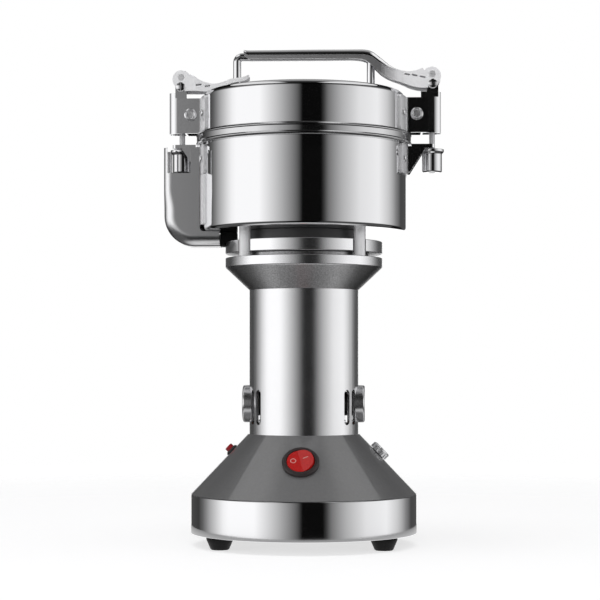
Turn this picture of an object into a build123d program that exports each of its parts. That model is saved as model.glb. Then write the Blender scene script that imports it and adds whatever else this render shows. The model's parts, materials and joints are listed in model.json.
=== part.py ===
"""Upright grinding mill with a clamped lid, as separate pieces.

Millimetres, +Z up. The origin lies on the table plane, on the axis of the motor shaft.
+X is the side of the long clamp lever, -Y is the side of the power switch.
"""
import os
from math import atan2, copysign, cos, degrees, radians, sin, tan

from build123d import *

# Clearances that every fit is derived from
RUN_FIT = 0.05
SLIP_FIT = 0.15
REST_GAP = 0.3

# Length by which a cut runs past what it goes through
THROUGH = 30.0

# Base drum, cone and feet
BASE_R = 85.5
SHEET_T = 1.6
FOOT_H = 9.8
FOOT_SINK = 0.2
FOOT_TOP_R = 10.0
FOOT_TIP_R = 7.1
FOOT_INSET = 12.5
FOOT_ANGLE = 34.0
SCREW_R = 2.1
SCREW_HEAD_R = 3.9
SCREW_HEAD_H = 2.2
NUT_H = 3.2
RIM_H = 29.0
CONE_H = 45.4
CONE_LIP = 1.0
LEDGE_W = 6.5
WIRING_R = 33.0
RIM_TOP_Z = FOOT_H + RIM_H
CONE_TOP_Z = RIM_TOP_Z + CONE_H

# Motor column
COLUMN_R = 41.3
COLUMN_T = 2.2
COLUMN_H = 108.8
SLOT_W = 6.4
SLOT_H = 26.2
SLOT_RISE = 20.4
SLOT_ANGLE = 30.0
SLOT_PITCH = 13.2
BRUSH_RISE = 22.8
COVER_R = 14.2
COVER_PROUD = 4.9
COVER_T = 1.8
HOLDER_R = 9.0
BRUSH_HALF_W = 2.4
BRUSH_HALF_H = 3.9
COLUMN_TOP_Z = CONE_TOP_Z + COLUMN_H
BRUSH_Z = CONE_TOP_Z + BRUSH_RISE
COLUMN_BORE_R = COLUMN_R - COLUMN_T

# Finned neck between the column and the bowl
NECK_R = 59.5
COLLAR_H = 17.2
FLANGE_T = 7.0
GROOVE_H = 3.1
GROOVE_DEPTH = 10.5
DISC_T = 9.1
CORE_H = 7.9
CORE_INSET = 13.5
SPIGOT_H = 5.0
SPIGOT_T = 2.5
PILLAR_R = 4.3
PILLAR_INSET = 4.5
PILLAR_ANGLE = 39.4
PILLAR_BORE_R = 2.5
COLLAR_TOP_Z = COLUMN_TOP_Z + COLLAR_H
FLANGE_TOP_Z = COLLAR_TOP_Z + FLANGE_T
DISC_Z = FLANGE_TOP_Z + GROOVE_H
DISC_TOP_Z = DISC_Z + DISC_T
PILLAR_RING_R = NECK_R - PILLAR_INSET

# Grinding bowl and its ring
BOWL_R = 77.5
BOWL_T = 1.5
BOWL_FLOOR_T = 2.0
BOWL_H = 67.2
BOWL_CORNER = 3.0
RING_W = 4.3
RING_DROP = 2.5
RING_RISE = 6.5
RING_EDGE = 1.2
SEAL_R = 11.0
BOWL_Z = DISC_TOP_Z + CORE_H
BOWL_TOP_Z = BOWL_Z + BOWL_H
RING_R = BOWL_R + RING_W
RING_Z = BOWL_TOP_Z - RING_DROP
RING_TOP_Z = BOWL_TOP_Z + RING_RISE

# Lid and bail handle
LID_INSET = 1.0
LID_T = 1.5
LID_H = 35.8
LID_CORNER = 4.5
GASKET_T = 2.0
BAIL_HALF = 50.8
BAIL_ROD_R = 3.0
BAIL_RISE = 28.2
BAIL_BEND = 4.0
LID_R = BOWL_R - LID_INSET
LID_TOP_Z = BOWL_TOP_Z + GASKET_T + LID_H
BAIL_Z = LID_TOP_Z + BAIL_RISE

# Barrel nuts and draw bolts
ROD_R = 2.25
TRUNNION_R = 2.5
BARREL_R = 3.8
NUT_R = 7.5
NUT_FLANGE_R = 9.0
NUT_L = 17.6
NUT_GAP = 0.4
ECCENTRIC = 7.0
ECCENTRIC_ANGLE = 93.0

# Brackets on the bowl, measured out from its wall
PLATE_T = 1.6
PLATE_ANGLE = 21.0
SHELF_DROP = 4.5
SHELF_T = 2.7
SHELF_OUT = 21.5
SHELF_SLOT_OUT = 10.5
SHELF_SLOT_HALF_W = 3.0
BRACKET_PLATE_H = 22.4
GUSSET_OUT = 14.5
GUSSET_H = 18.5
RIVET_R = 1.5
RIVET_HEAD_R = 2.9
RIVET_HEAD_H = 1.5
RIVET_INSET = 5.2
RIVET_DROP = 9.0
SHELF_Z = BOWL_TOP_Z - SHELF_DROP
GUSSET_Y = NUT_FLANGE_R + PLATE_T + 2 * REST_GAP

# Brackets, arms and levers of the clamps, measured out from the lid's wall
BRACKET_H = 26.4
CHEEK_OUT = 18.0
CHEEK_T = 1.8
ARM_HALF_W = 7.5
ARM_T = 1.5
ARM_BEND = 7.0
ARM_EYE_R = 5.2
ARM_BACK_OUT = 12.0
ARM_PIVOT_OUT = 9.0
ARM_PIVOT_RISE = 13.9
ARM_RIVET_R = 2.5
ARM_HEAD_R = 4.7
ARM_HEAD_H = 2.2
EAR_R = 7.0
LEVER_T = 1.5
GRIP_HALF_W = 6.0
PIN_R = 2.0
PIN_HEAD_R = 3.25
PIN_HEAD_H = 1.6
LUG_R = 4.2
BRACKET_Z = RING_TOP_Z + 2 * REST_GAP
ARM_BACK_R = LID_R + ARM_BACK_OUT
ARM_PIVOT_R = LID_R + ARM_PIVOT_OUT
ARM_PIVOT_Z = BRACKET_Z + ARM_PIVOT_RISE

# Where the clamps of the two sides differ, as (pin radius, pin height, nose radius)
RIGHT_CLAMP = (LID_R + 21.0, LID_TOP_Z + 6.2, LID_R + 27.9)
LEFT_CLAMP = (LID_R + 16.5, LID_TOP_Z + 4.7, LID_R + 26.1)
ARM_TOP_Z = LEFT_CLAMP[1] - BARREL_R - 2 * REST_GAP

# Safety switch housing on the left of the bowl
HOUSING_OUT = 27.8
HOUSING_HALF_W = 17.0
HOUSING_T = 1.5
HOUSING_DROP = 11.3
HOUSING_BEND = 23.0
HOUSING_EDGE = 4.5
HOUSING_NECK_GAP = 3.5
MICROSWITCH_INSET = 7.3
MICROSWITCH_W = 16.0
MICROSWITCH_H = 18.0
MICROSWITCH_RISE = 18.0
STRIP_ANGLE = 20.0
STRIP_H = 37.4
HOUSING_REACH = BOWL_R + HOUSING_OUT
HOUSING_Z = BOWL_Z - HOUSING_DROP
HOUSING_INNER_R = NECK_R + HOUSING_NECK_GAP

# Motor shaft, bearings and cutting set
SHAFT_R = 5.0
SHAFT_TIP_R = 4.0
BEARING_R = 13.0
BEARING_H = 8.0
BEARING_FLOOR_T = 1.8
UPPER_BEARING_R = 15.0
UPPER_BEARING_H = 9.0
STATOR_DEPTH = 15.1
AIR_GAP = 0.6
WINDING_INSET = 3.0
COMMUTATOR_R = 16.0
COMMUTATOR_H = 16.5
STACK_RISE = 41.8
STACK_H = 44.0
FAN_R = 34.0
FAN_H = 9.5
BLADE_T = 2.0
BLADE_RISE = 11.0
BLADE_PITCH = 13.0
LOWER_BLADE_R = 69.0
UPPER_BLADE_R = 62.0
ROTOR_R = COLUMN_BORE_R - STATOR_DEPTH
WINDING_R = ROTOR_R - WINDING_INSET
STACK_Z = CONE_TOP_Z + STACK_RISE
STACK_TOP_Z = STACK_Z + STACK_H
FAN_Z = STACK_TOP_Z + 10.0
SHAFT_Z = CONE_TOP_Z + 2.8
UPPER_BEARING_Z = COLLAR_TOP_Z + 0.7
LOWER_BLADE_Z = BOWL_Z + BLADE_RISE
UPPER_BLADE_Z = LOWER_BLADE_Z + BLADE_PITCH

# Controls on the cone, their heights measured from the cone's foot
SWITCH_RISE = 26.2
BEZEL_R = 13.65
BEZEL_H = 3.0
ROCKER_R = 10.2
ROCKER_RISE = 1.0
ROCKER_TILT = 8.0
SWITCH_TURN = 13.0
RESET_RISE = 32.6
RESET_COLLAR_R = 5.1
RESET_COLLAR_H = 1.7
RESET_PROUD = 2.9
RESET_R = 3.2
FUSE_RISE = 31.0
FUSE_R = 7.6
FUSE_H = 5.0
FUSE_PLUG_R = 3.3
GLAND_RISE = 14.2
GLAND_R = 7.0
CORD_R = 3.6
SWITCH_Z = RIM_TOP_Z + SWITCH_RISE
RESET_Z = RIM_TOP_Z + RESET_RISE
FUSE_Z = RIM_TOP_Z + FUSE_RISE
GLAND_Z = FOOT_H + GLAND_RISE

CONE_LEAN = degrees(atan2(BASE_R - COLUMN_R - CONE_LIP, CONE_H))
CONE_SKIN = SHEET_T / cos(radians(CONE_LEAN))
CHEEK_Y = ARM_HALF_W + REST_GAP
EAR_HALF_W = CHEEK_Y + LEVER_T


def lathe(*outline):
    """Solid of revolution about Z of a closed outline of (radius, height) points."""
    return revolve(make_face(Polyline(*[(r, 0, z) for r, z in outline], close=True)), Axis.Z)


def rod(radius, z_low, z_high):
    """Upright cylinder on the Z axis."""
    return Pos(0, 0, z_low) * Cylinder(radius, z_high - z_low, align=(Align.CENTER, Align.CENTER, Align.MIN))


def tube(r_out, r_in, z_low, z_high):
    """Upright ring on the Z axis."""
    return rod(r_out, z_low, z_high) - rod(r_in, z_low - 1, z_high + 1)


def block(x_low, x_high, y_low, y_high, z_low, z_high):
    """Box between two corners."""
    size = (x_high - x_low, y_high - y_low, z_high - z_low)
    return Pos(x_low, y_low, z_low) * Box(*size, align=(Align.MIN, Align.MIN, Align.MIN))


def cross_pin(radius, x, z, y_low, y_high):
    """Cylinder along Y through the point (x, z)."""
    along = Plane(origin=(x, y_low, z), x_dir=(1, 0, 0), z_dir=(0, 1, 0))
    return extrude(along * Circle(radius), y_high - y_low)


def side_plate(face, y_low, y_high):
    """Plate of an XZ outline, drawn as a sketch in (x, z), between two depths."""
    across = Plane(origin=(0, y_high, 0), x_dir=(1, 0, 0), z_dir=(0, -1, 0))
    return extrude(across * face, y_high - y_low)


def group(shapes):
    """Several separate solids as one compound."""
    return Compound(children=[s for shape in shapes for s in shape.solids()])


def around(shape, angles):
    """Copies of a shape turned about Z."""
    return [Rot(0, 0, a) * shape for a in angles]


def corners(angle):
    """Four directions at the same angle to the X axis."""
    return [angle, 180 - angle, 180 + angle, 360 - angle]


def to_left(shape):
    """The mirror image on the -X side."""
    return mirror(shape, about=Plane.YZ)


def cone_radius(z):
    """Outer radius of the base cone at a height."""
    return BASE_R + (COLUMN_R + CONE_LIP - BASE_R) * (z - RIM_TOP_Z) / CONE_H


def on_cone(angle, z, turn=0):
    """Plane that lies on the cone, its normal outward and its Y up the slope."""
    lean = radians(CONE_LEAN)
    a = radians(angle)
    normal = Vector(cos(a) * cos(lean), sin(a) * cos(lean), sin(lean))
    tangent = Vector(-sin(a), cos(a), 0)
    across = tangent * cos(radians(turn)) + normal.cross(tangent) * sin(radians(turn))
    r = cone_radius(z)
    return Plane(origin=(r * cos(a), r * sin(a), z), x_dir=across, z_dir=normal)


def sector(r_out, r_in, z_low, z_high, half_angle):
    """Curved plate about Z, centred on +X."""
    reach = r_out + THROUGH
    half_w = reach * tan(radians(half_angle))
    wedge = Polyline((0, 0), (reach, -half_w), (reach, half_w), close=True)
    cut = Pos(0, 0, z_low) * extrude(make_face(wedge), z_high - z_low)
    return tube(r_out, r_in, z_low, z_high) & cut


# Base


def base_rim():
    inner = BASE_R - SHEET_T
    ring = lathe(
        (BASE_R, FOOT_H - FOOT_SINK), (BASE_R, RIM_TOP_Z), (BASE_R - LEDGE_W, RIM_TOP_Z),
        (BASE_R - LEDGE_W, RIM_TOP_Z - SHEET_T), (inner, RIM_TOP_Z - SHEET_T), (inner, FOOT_H - FOOT_SINK),
    )
    bore = Plane(origin=(0, BASE_R, GLAND_Z), z_dir=(0, 1, 0)) * Circle(GLAND_R)
    return ring - extrude(bore, 8, both=True)


def control_seats():
    """Holes in the cone for the switch, the reset breaker and the fuse holder."""
    seats = [
        (on_cone(-90, SWITCH_Z), ROCKER_R + REST_GAP + 1.1),
        (on_cone(180, RESET_Z), RESET_COLLAR_R - 0.6),
        (on_cone(0, FUSE_Z), FUSE_R - 2.0),
    ]
    return [extrude(seat.offset(-8) * Circle(r), 16) for seat, r in seats]


def base_cone():
    foot = BASE_R - CONE_SKIN
    under = CONE_TOP_Z - SHEET_T
    shell = lathe(
        (BASE_R, RIM_TOP_Z), (cone_radius(CONE_TOP_Z), CONE_TOP_Z), (WIRING_R, CONE_TOP_Z),
        (WIRING_R, under), (cone_radius(under) - CONE_SKIN, under), (foot, RIM_TOP_Z),
    )
    for seat in control_seats():
        shell -= seat
    return shell


def feet_places():
    ring_r = BASE_R - FOOT_INSET
    return [Pos(ring_r * cos(radians(a)), ring_r * sin(radians(a)), 0) for a in corners(FOOT_ANGLE)]


def base_plate():
    plate = rod(BASE_R - SHEET_T - SLIP_FIT, FOOT_H, FOOT_H + SHEET_T)
    for place in feet_places():
        plate -= place * rod(SCREW_R + SLIP_FIT, FOOT_H - 1, FOOT_H + SHEET_T + 1)
    for i in range(6):
        vent = Rot(0, 0, 60 * i + 30) * Pos(0.4 * BASE_R, 0, FOOT_H) * SlotOverall(0.35 * BASE_R, 5)
        plate -= extrude(vent, SHEET_T)
    return plate


def rubber_feet():
    bore = SCREW_R + SLIP_FIT
    seat = 2 * SCREW_HEAD_H
    sink = SCREW_HEAD_R + 0.5
    foot = lathe(
        (FOOT_TIP_R - 0.8, 0), (FOOT_TIP_R, 0.8), (FOOT_TOP_R, FOOT_H - 2.2), (FOOT_TOP_R, FOOT_H),
        (bore, FOOT_H), (bore, seat), (sink, seat), (sink, 0),
    )
    return group([place * foot for place in feet_places()])


def foot_screws():
    top = FOOT_H + SHEET_T
    head = rod(SCREW_HEAD_R, SCREW_HEAD_H, 2 * SCREW_HEAD_H)
    screw = head + rod(SCREW_R, 2 * SCREW_HEAD_H, top + NUT_H + SCREW_R)
    nut = Pos(0, 0, top) * extrude(RegularPolygon(2 * SCREW_R, 6), NUT_H)
    return group([place * (screw + nut) for place in feet_places()])


def cord_gland():
    seat = Plane(origin=(0, BASE_R, GLAND_Z), x_dir=(1, 0, 0), z_dir=(0, 1, 0))
    body = extrude(seat.offset(-6) * Circle(GLAND_R - RUN_FIT), 9)
    flange = extrude(seat.offset(0.4) * Circle(GLAND_R + 2.6), 2.6)
    flange = fillet(flange.edges().sort_by(Axis.Y)[-1:], 1.0)
    bore = extrude(seat * Circle(CORD_R), 10, both=True)
    drum = rod(BASE_R, FOOT_H, RIM_TOP_Z)
    return body + (flange - drum) - bore


# Motor column


def motor_housing():
    floor = CONE_TOP_Z + 2
    shell = lathe(
        (COLUMN_R, CONE_TOP_Z), (COLUMN_R, COLUMN_TOP_Z), (COLUMN_BORE_R, COLUMN_TOP_Z),
        (COLUMN_BORE_R, floor), (WIRING_R + 1, floor), (WIRING_R + 1, CONE_TOP_Z),
    )
    hole = cross_hole(HOLDER_R + RUN_FIT, COLUMN_BORE_R - 10, COLUMN_R + 10)
    shell = shell - hole - to_left(hole)
    for angle in corners(SLOT_ANGLE - SLOT_PITCH / 2) + corners(SLOT_ANGLE + SLOT_PITCH / 2):
        shell -= vent_cut(angle)
    return shell


def cross_hole(radius, x_low, x_high):
    """Hole along X at the height of the brushes."""
    along = Plane(origin=(x_low, 0, BRUSH_Z), x_dir=(0, 1, 0), z_dir=(1, 0, 0))
    return extrude(along * Circle(radius), x_high - x_low)


def vent_cut(angle):
    a = radians(angle)
    seat = Plane(
        origin=(COLUMN_R * cos(a), COLUMN_R * sin(a), CONE_TOP_Z + SLOT_RISE),
        x_dir=(-sin(a), cos(a), 0),
        z_dir=(cos(a), sin(a), 0),
    )
    return extrude(seat * Rot(0, 0, 90) * SlotOverall(SLOT_H, SLOT_W), 10, both=True)


def brush_covers():
    reach = COLUMN_R + COVER_PROUD
    cap = cross_hole(COVER_R, COLUMN_BORE_R, reach)
    cap = fillet(cap.edges().sort_by(Axis.X)[-1:], 1.6)
    cap = cap - rod(COLUMN_R, CONE_TOP_Z, COLUMN_TOP_Z)
    cap -= cross_hole(HOLDER_R + REST_GAP, 0, reach - COVER_T)
    return group([cap, to_left(cap)])


def brush_holders():
    half_w = BRUSH_HALF_W + RUN_FIT
    half_h = BRUSH_HALF_H + RUN_FIT
    body = cross_hole(HOLDER_R, COMMUTATOR_R + 5, COLUMN_R + COVER_PROUD - COVER_T - 0.8)
    body -= block(COMMUTATOR_R, COLUMN_R + THROUGH, -half_w, half_w, BRUSH_Z - half_h, BRUSH_Z + half_h)
    return group([body, to_left(body)])


def carbon_brushes():
    brush = block(
        SHAFT_R, COMMUTATOR_R + 14, -BRUSH_HALF_W, BRUSH_HALF_W, BRUSH_Z - BRUSH_HALF_H, BRUSH_Z + BRUSH_HALF_H
    )
    brush -= rod(COMMUTATOR_R + SLIP_FIT, CONE_TOP_Z, COLUMN_TOP_Z)
    return group([brush, to_left(brush)])


def brush_springs():
    spring = cross_hole(2.0, COMMUTATOR_R + 14, COLUMN_R + COVER_PROUD - COVER_T)
    return group([spring, to_left(spring)])


def stator_core():
    core = tube(COLUMN_BORE_R - SLIP_FIT, ROTOR_R + AIR_GAP, STACK_Z - 2, STACK_TOP_Z + 2)
    window = sector(COLUMN_BORE_R - 4.1, ROTOR_R + 3.5, STACK_Z - 3, STACK_TOP_Z + 3, 42)
    return core - window - to_left(window)


def field_coils():
    coil = sector(COLUMN_BORE_R - 4.3, ROTOR_R + 3.7, STACK_Z - 9, STACK_TOP_Z + 9, 41)
    return group([coil, to_left(coil)])


def bearing_bracket():
    low = CONE_TOP_Z + 2
    floor = low + BEARING_FLOOR_T
    rim = COLUMN_BORE_R - SLIP_FIT
    plate = lathe(
        (rim, low), (rim, low + 2.5), (BEARING_R + 4, low + 2.5), (BEARING_R + 4, floor + BEARING_H),
        (BEARING_R, floor + BEARING_H), (BEARING_R, floor), (SHAFT_R + 2, floor), (SHAFT_R + 2, low),
    )
    middle = (BEARING_R + 4 + rim) / 2
    for i in range(4):
        window = Rot(0, 0, 90 * i + 45) * Pos(middle, 0, low) * SlotOverall(16, 9, rotation=90)
        plate -= extrude(window, 3)
    return plate


def lower_bearing():
    low = CONE_TOP_Z + 2 + BEARING_FLOOR_T
    return tube(BEARING_R, SHAFT_R + RUN_FIT, low, low + BEARING_H)


def upper_bearing():
    return tube(UPPER_BEARING_R, SHAFT_R + RUN_FIT, UPPER_BEARING_Z, UPPER_BEARING_Z + UPPER_BEARING_H)


# Neck


def pillar_places():
    return [Pos(PILLAR_RING_R * cos(radians(a)), PILLAR_RING_R * sin(radians(a)), 0)
            for a in corners(PILLAR_ANGLE)]


def neck_casting():
    core = NECK_R - CORE_INSET
    groove = NECK_R - GROOVE_DEPTH
    spigot = COLUMN_BORE_R - SLIP_FIT
    shoulder = UPPER_BEARING_Z + UPPER_BEARING_H
    seat_low = UPPER_BEARING_Z - 8
    lip = COLUMN_TOP_Z + 3.5
    foot = COLUMN_TOP_Z - SPIGOT_H
    body = lathe(
        (COLUMN_R, COLUMN_TOP_Z), (NECK_R, COLLAR_TOP_Z), (NECK_R, FLANGE_TOP_Z), (groove, FLANGE_TOP_Z),
        (groove, DISC_Z), (NECK_R, DISC_Z), (NECK_R, DISC_TOP_Z), (core, DISC_TOP_Z), (core, BOWL_Z),
        (SHAFT_R + 3, BOWL_Z), (SHAFT_R + 3, shoulder), (UPPER_BEARING_R, shoulder),
        (UPPER_BEARING_R, seat_low), (UPPER_BEARING_R + 5, seat_low), (UPPER_BEARING_R + 5, seat_low + 4),
        (NECK_R - 9.5, seat_low + 4), (spigot - 0.85, lip), (spigot - SPIGOT_T, lip),
        (spigot - SPIGOT_T, foot), (spigot, foot), (spigot, COLUMN_TOP_Z),
    )
    side = PILLAR_R + REST_GAP
    for place in pillar_places():
        out = copysign(PILLAR_RING_R, place.position.Y)
        notch = rod(side, DISC_Z - 1, DISC_TOP_Z + 1)
        opening = Pos(0, out / 2, DISC_Z + DISC_T / 2) * Box(2 * side, PILLAR_RING_R, DISC_T + 2)
        body -= place * (notch + opening)
    return body


def pillars():
    post = rod(PILLAR_R, FLANGE_TOP_Z, BOWL_Z) - rod(PILLAR_BORE_R, BOWL_Z - 12, BOWL_Z + 1)
    return group([place * post for place in pillar_places()])


# Bowl


def bowl():
    outer = rod(BOWL_R, BOWL_Z, BOWL_TOP_Z)
    outer = fillet(outer.edges().filter_by(GeomType.CIRCLE).sort_by(Axis.Z)[:1], BOWL_CORNER)
    inner = rod(BOWL_R - BOWL_T, BOWL_Z + BOWL_FLOOR_T, BOWL_TOP_Z + 1)
    inner = fillet(inner.edges().filter_by(GeomType.CIRCLE).sort_by(Axis.Z)[:1], BOWL_CORNER - BOWL_T)
    shell = outer - inner - rod(SEAL_R, BOWL_Z - 1, BOWL_Z + 5)
    for place in pillar_places():
        shell -= place * rod(PILLAR_BORE_R + 0.1, BOWL_Z - 1, BOWL_Z + 5)
    for hole in rivet_holes(BOWL_R, SHELF_Z - RIVET_DROP):
        shell = shell - hole - to_left(hole)
    return shell


def bowl_ring():
    lip = LID_R + 0.6
    ring = lathe(
        (BOWL_R, RING_Z), (RING_R - RING_EDGE, RING_Z), (RING_R, RING_Z + RING_EDGE),
        (RING_R, RING_TOP_Z - RING_EDGE), (RING_R - RING_EDGE, RING_TOP_Z), (lip + 0.6, RING_TOP_Z),
        (lip, RING_TOP_Z - 0.6), (lip, BOWL_TOP_Z), (BOWL_R, BOWL_TOP_Z),
    )
    return ring


def bowl_screws():
    top = BOWL_Z + BOWL_FLOOR_T
    head = fillet(rod(4.6, top, top + 2.6).edges().sort_by(Axis.Z)[-1:], 1.6)
    screw = head + rod(PILLAR_BORE_R, BOWL_Z - 10, top)
    return group([place * screw for place in pillar_places()])


def shaft_seal():
    top = BOWL_Z + BOWL_FLOOR_T
    return lathe(
        (SEAL_R, BOWL_Z), (SEAL_R, top), (SEAL_R + 3, top), (SEAL_R + 3, top + 0.8), (SEAL_R, top + 2.4),
        (SHAFT_R + RUN_FIT, top + 2.4), (SHAFT_R + RUN_FIT, BOWL_Z),
    )


# Rotor


def shaft():
    low = rod(SHAFT_R, SHAFT_Z, UPPER_BLADE_Z + BLADE_T + 1)
    return low + rod(SHAFT_TIP_R, UPPER_BLADE_Z, UPPER_BLADE_Z + 11)


def armature():
    stack = tube(ROTOR_R, SHAFT_R, STACK_Z, STACK_TOP_Z)
    for i in range(12):
        stack -= Rot(0, 0, 30 * i) * block(ROTOR_R - 6, ROTOR_R + 2, -1.2, 1.2, STACK_Z - 1, STACK_TOP_Z + 1)
    low = fillet(tube(WINDING_R, SHAFT_R, STACK_Z - 9, STACK_Z).edges().sort_by(Axis.Z)[:1], 3)
    high = fillet(tube(WINDING_R, SHAFT_R, STACK_TOP_Z, STACK_TOP_Z + 8).edges().sort_by(Axis.Z)[-1:], 3)
    return stack + low + high


def commutator():
    half = COMMUTATOR_H / 2
    return tube(COMMUTATOR_R, SHAFT_R, BRUSH_Z - half, BRUSH_Z + half)


def cooling_fan():
    hub = SHAFT_R + 4
    disc = FAN_Z + 1.5
    fan = tube(FAN_R, SHAFT_R, FAN_Z, disc) + tube(hub, SHAFT_R, disc, disc + FAN_H)
    for i in range(9):
        vane = block(-1, FAN_R - hub - 1, -0.75, 0.75, 0, FAN_H - 1.5)
        fan += Rot(0, 0, 40 * i) * Pos(hub, 0, disc) * Rot(0, 0, 18) * vane
    return fan


def blade_spacers():
    low = tube(SHAFT_R + 4, SHAFT_R, BOWL_Z + BOWL_FLOOR_T + 2.4 + REST_GAP, LOWER_BLADE_Z)
    mid = tube(SHAFT_R + 3, SHAFT_R, LOWER_BLADE_Z + BLADE_T, UPPER_BLADE_Z)
    return group([low, mid])


def swept_blade(reach, root_w, tip_w, sweep, lift, z):
    """Two-armed blade, its arms swept back, tapered and bent up or down at the tips."""
    arm = make_face(
        Polyline(
            (0, -root_w / 2), (reach * 0.5, -root_w / 2 + sweep * 0.25), (reach, sweep),
            (reach - 2, sweep + tip_w), (reach * 0.5, root_w / 2 + sweep * 0.15), (0, root_w / 2),
            close=True,
        )
    )
    knee = reach * 0.62
    profile = make_face(
        Polyline(
            (0, 0), (knee, 0), (reach + 1, lift), (reach + 1, lift + BLADE_T), (knee, BLADE_T),
            (0, BLADE_T), close=True,
        )
    )
    half = extrude(arm, THROUGH, both=True) & side_plate(profile, -reach, reach)
    whole = half + Rot(0, 0, 180) * half + rod(SHAFT_R + 6, 0, BLADE_T)
    return Pos(0, 0, z) * (whole - rod(SHAFT_R, -1, BLADE_T + 1))


def lower_blade():
    return swept_blade(LOWER_BLADE_R, 16, 9, 14, -5.5, LOWER_BLADE_Z)


def upper_blade():
    blade = swept_blade(UPPER_BLADE_R, 17, 8, 10, 9.0, UPPER_BLADE_Z)
    return Rot(0, 0, 72) * blade


def blade_nut():
    low = UPPER_BLADE_Z + BLADE_T
    washer = tube(SHAFT_R + 4.5, SHAFT_R, low, low + 1)
    hexagon = Pos(0, 0, low + 1) * extrude(RegularPolygon(SHAFT_R + 3.2, 6), 6)
    dome = Pos(0, 0, low + 7) * Sphere(SHAFT_R + 1.6)
    dome = dome & rod(SHAFT_R + 4, low + 7, low + 14)
    nut = hexagon + dome - rod(SHAFT_TIP_R, low, UPPER_BLADE_Z + 11) - rod(SHAFT_R, low - 1, low + 1)
    return washer + nut


# Clamps


def base_of_bracket(r, z_low, z_high):
    """Curved plate that is riveted to a round wall."""
    plate = sector(r + PLATE_T, r, z_low, z_high, PLATE_ANGLE)
    edges = plate.edges().filter_by(lambda e: abs(e.length - PLATE_T) < 0.3)
    return fillet(edges, 3.0)


def rivet_angles():
    return [PLATE_ANGLE - RIVET_INSET, RIVET_INSET - PLATE_ANGLE]


def wall_rivet(r, z):
    """Domed rivet through a bracket's plate and the wall behind it, on +X."""
    seat = Plane(origin=(r + PLATE_T, 0, z), x_dir=(0, 1, 0), z_dir=(1, 0, 0))
    head = extrude(seat * Circle(RIVET_HEAD_R), RIVET_HEAD_H)
    head = fillet(head.edges().sort_by(Axis.X)[-1:], 1.2)
    shank = extrude(seat.offset(-PLATE_T - BOWL_T) * Circle(RIVET_R), PLATE_T + BOWL_T)
    return head + shank


def rivet_holes(r, z):
    seat = Plane(origin=(r - 3, 0, z), x_dir=(0, 1, 0), z_dir=(1, 0, 0))
    return around(extrude(seat * Circle(RIVET_R), 8), rivet_angles())


def lid_bracket():
    top = BRACKET_Z + BRACKET_H
    plate = base_of_bracket(LID_R, BRACKET_Z, top)
    for hole in rivet_holes(LID_R, ARM_PIVOT_Z):
        plate -= hole
    cheek = block(LID_R + PLATE_T / 2, LID_R + CHEEK_OUT, CHEEK_Y, CHEEK_Y + CHEEK_T, BRACKET_Z, top)
    cheek = fillet(cheek.edges().filter_by(Axis.Y).sort_by(Axis.X)[-2:], 2.5)
    cheek -= cross_pin(ARM_RIVET_R, ARM_PIVOT_R, ARM_PIVOT_Z, 0, THROUGH)
    return plate + cheek + mirror(cheek, about=Plane.XZ)


def arm_rivets():
    far = CHEEK_Y + CHEEK_T
    shank = cross_pin(ARM_RIVET_R, ARM_PIVOT_R, ARM_PIVOT_Z, -far, far)
    head = cross_pin(ARM_HEAD_R, ARM_PIVOT_R, ARM_PIVOT_Z, far, far + ARM_HEAD_H)
    head = fillet(head.edges().sort_by(Axis.Y)[-1:], 1.5)
    rivet = shank + head + mirror(head, about=Plane.XZ)
    return group([rivet, to_left(rivet)])


def lid_bracket_rivets():
    rivets = around(wall_rivet(LID_R, ARM_PIVOT_Z), rivet_angles())
    return group(rivets + [to_left(r) for r in rivets])


def clamp_arm(clamp):
    pivot_r, pivot_z, nose_r = clamp
    inner = ARM_HALF_W - ARM_T
    back = ARM_BACK_R
    nose = block(back, nose_r, -ARM_HALF_W, ARM_HALF_W, BRACKET_Z, ARM_TOP_Z)
    nose = fillet(nose.edges().filter_by(Axis.Z).sort_by(Axis.X)[-2:], ARM_BEND)
    hollow = block(back + ARM_T, nose_r - ARM_T, -inner, inner, BRACKET_Z - 1, ARM_TOP_Z + 1)
    hollow = fillet(hollow.edges().filter_by(Axis.Z).sort_by(Axis.X)[-2:], ARM_BEND - ARM_T)
    slot = block(nose_r - 4, nose_r + 1, -3.5, 3.5, BRACKET_Z - 1, ARM_TOP_Z + 1)
    eye = Pos(ARM_PIVOT_R, ARM_PIVOT_Z) * Circle(ARM_EYE_R)
    link = Pos((ARM_PIVOT_R + back + 2) / 2, ARM_PIVOT_Z) * Rectangle(back + 2 - ARM_PIVOT_R, 2 * ARM_EYE_R)
    neck = Pos(pivot_r, (pivot_z + ARM_TOP_Z - 4) / 2) * Rectangle(2 * LUG_R, pivot_z - ARM_TOP_Z + 4)
    lug = Pos(pivot_r, pivot_z) * Circle(LUG_R)
    flank = side_plate(eye + link + neck + lug, inner, ARM_HALF_W)
    arm = nose - hollow - slot + flank + mirror(flank, about=Plane.XZ)
    arm -= cross_pin(ARM_RIVET_R + RUN_FIT, ARM_PIVOT_R, ARM_PIVOT_Z, -THROUGH, THROUGH)
    return arm - cross_pin(PIN_R, pivot_r, pivot_z, -THROUGH, THROUGH)


def lever_pins(clamp):
    pivot_r, pivot_z, nose_r = clamp
    inner = ARM_HALF_W - ARM_T
    out = EAR_HALF_W + 0.1
    shank = cross_pin(PIN_R, pivot_r, pivot_z, inner, out)
    head = cross_pin(PIN_HEAD_R, pivot_r, pivot_z, out, out + PIN_HEAD_H)
    slot = block(pivot_r - 0.45, pivot_r + 0.45, out + PIN_HEAD_H - 0.6, out + PIN_HEAD_H + 1, pivot_z - 4, pivot_z + 4)
    pin = shank + (head - slot)
    return group([pin, mirror(pin, about=Plane.XZ)])


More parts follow.
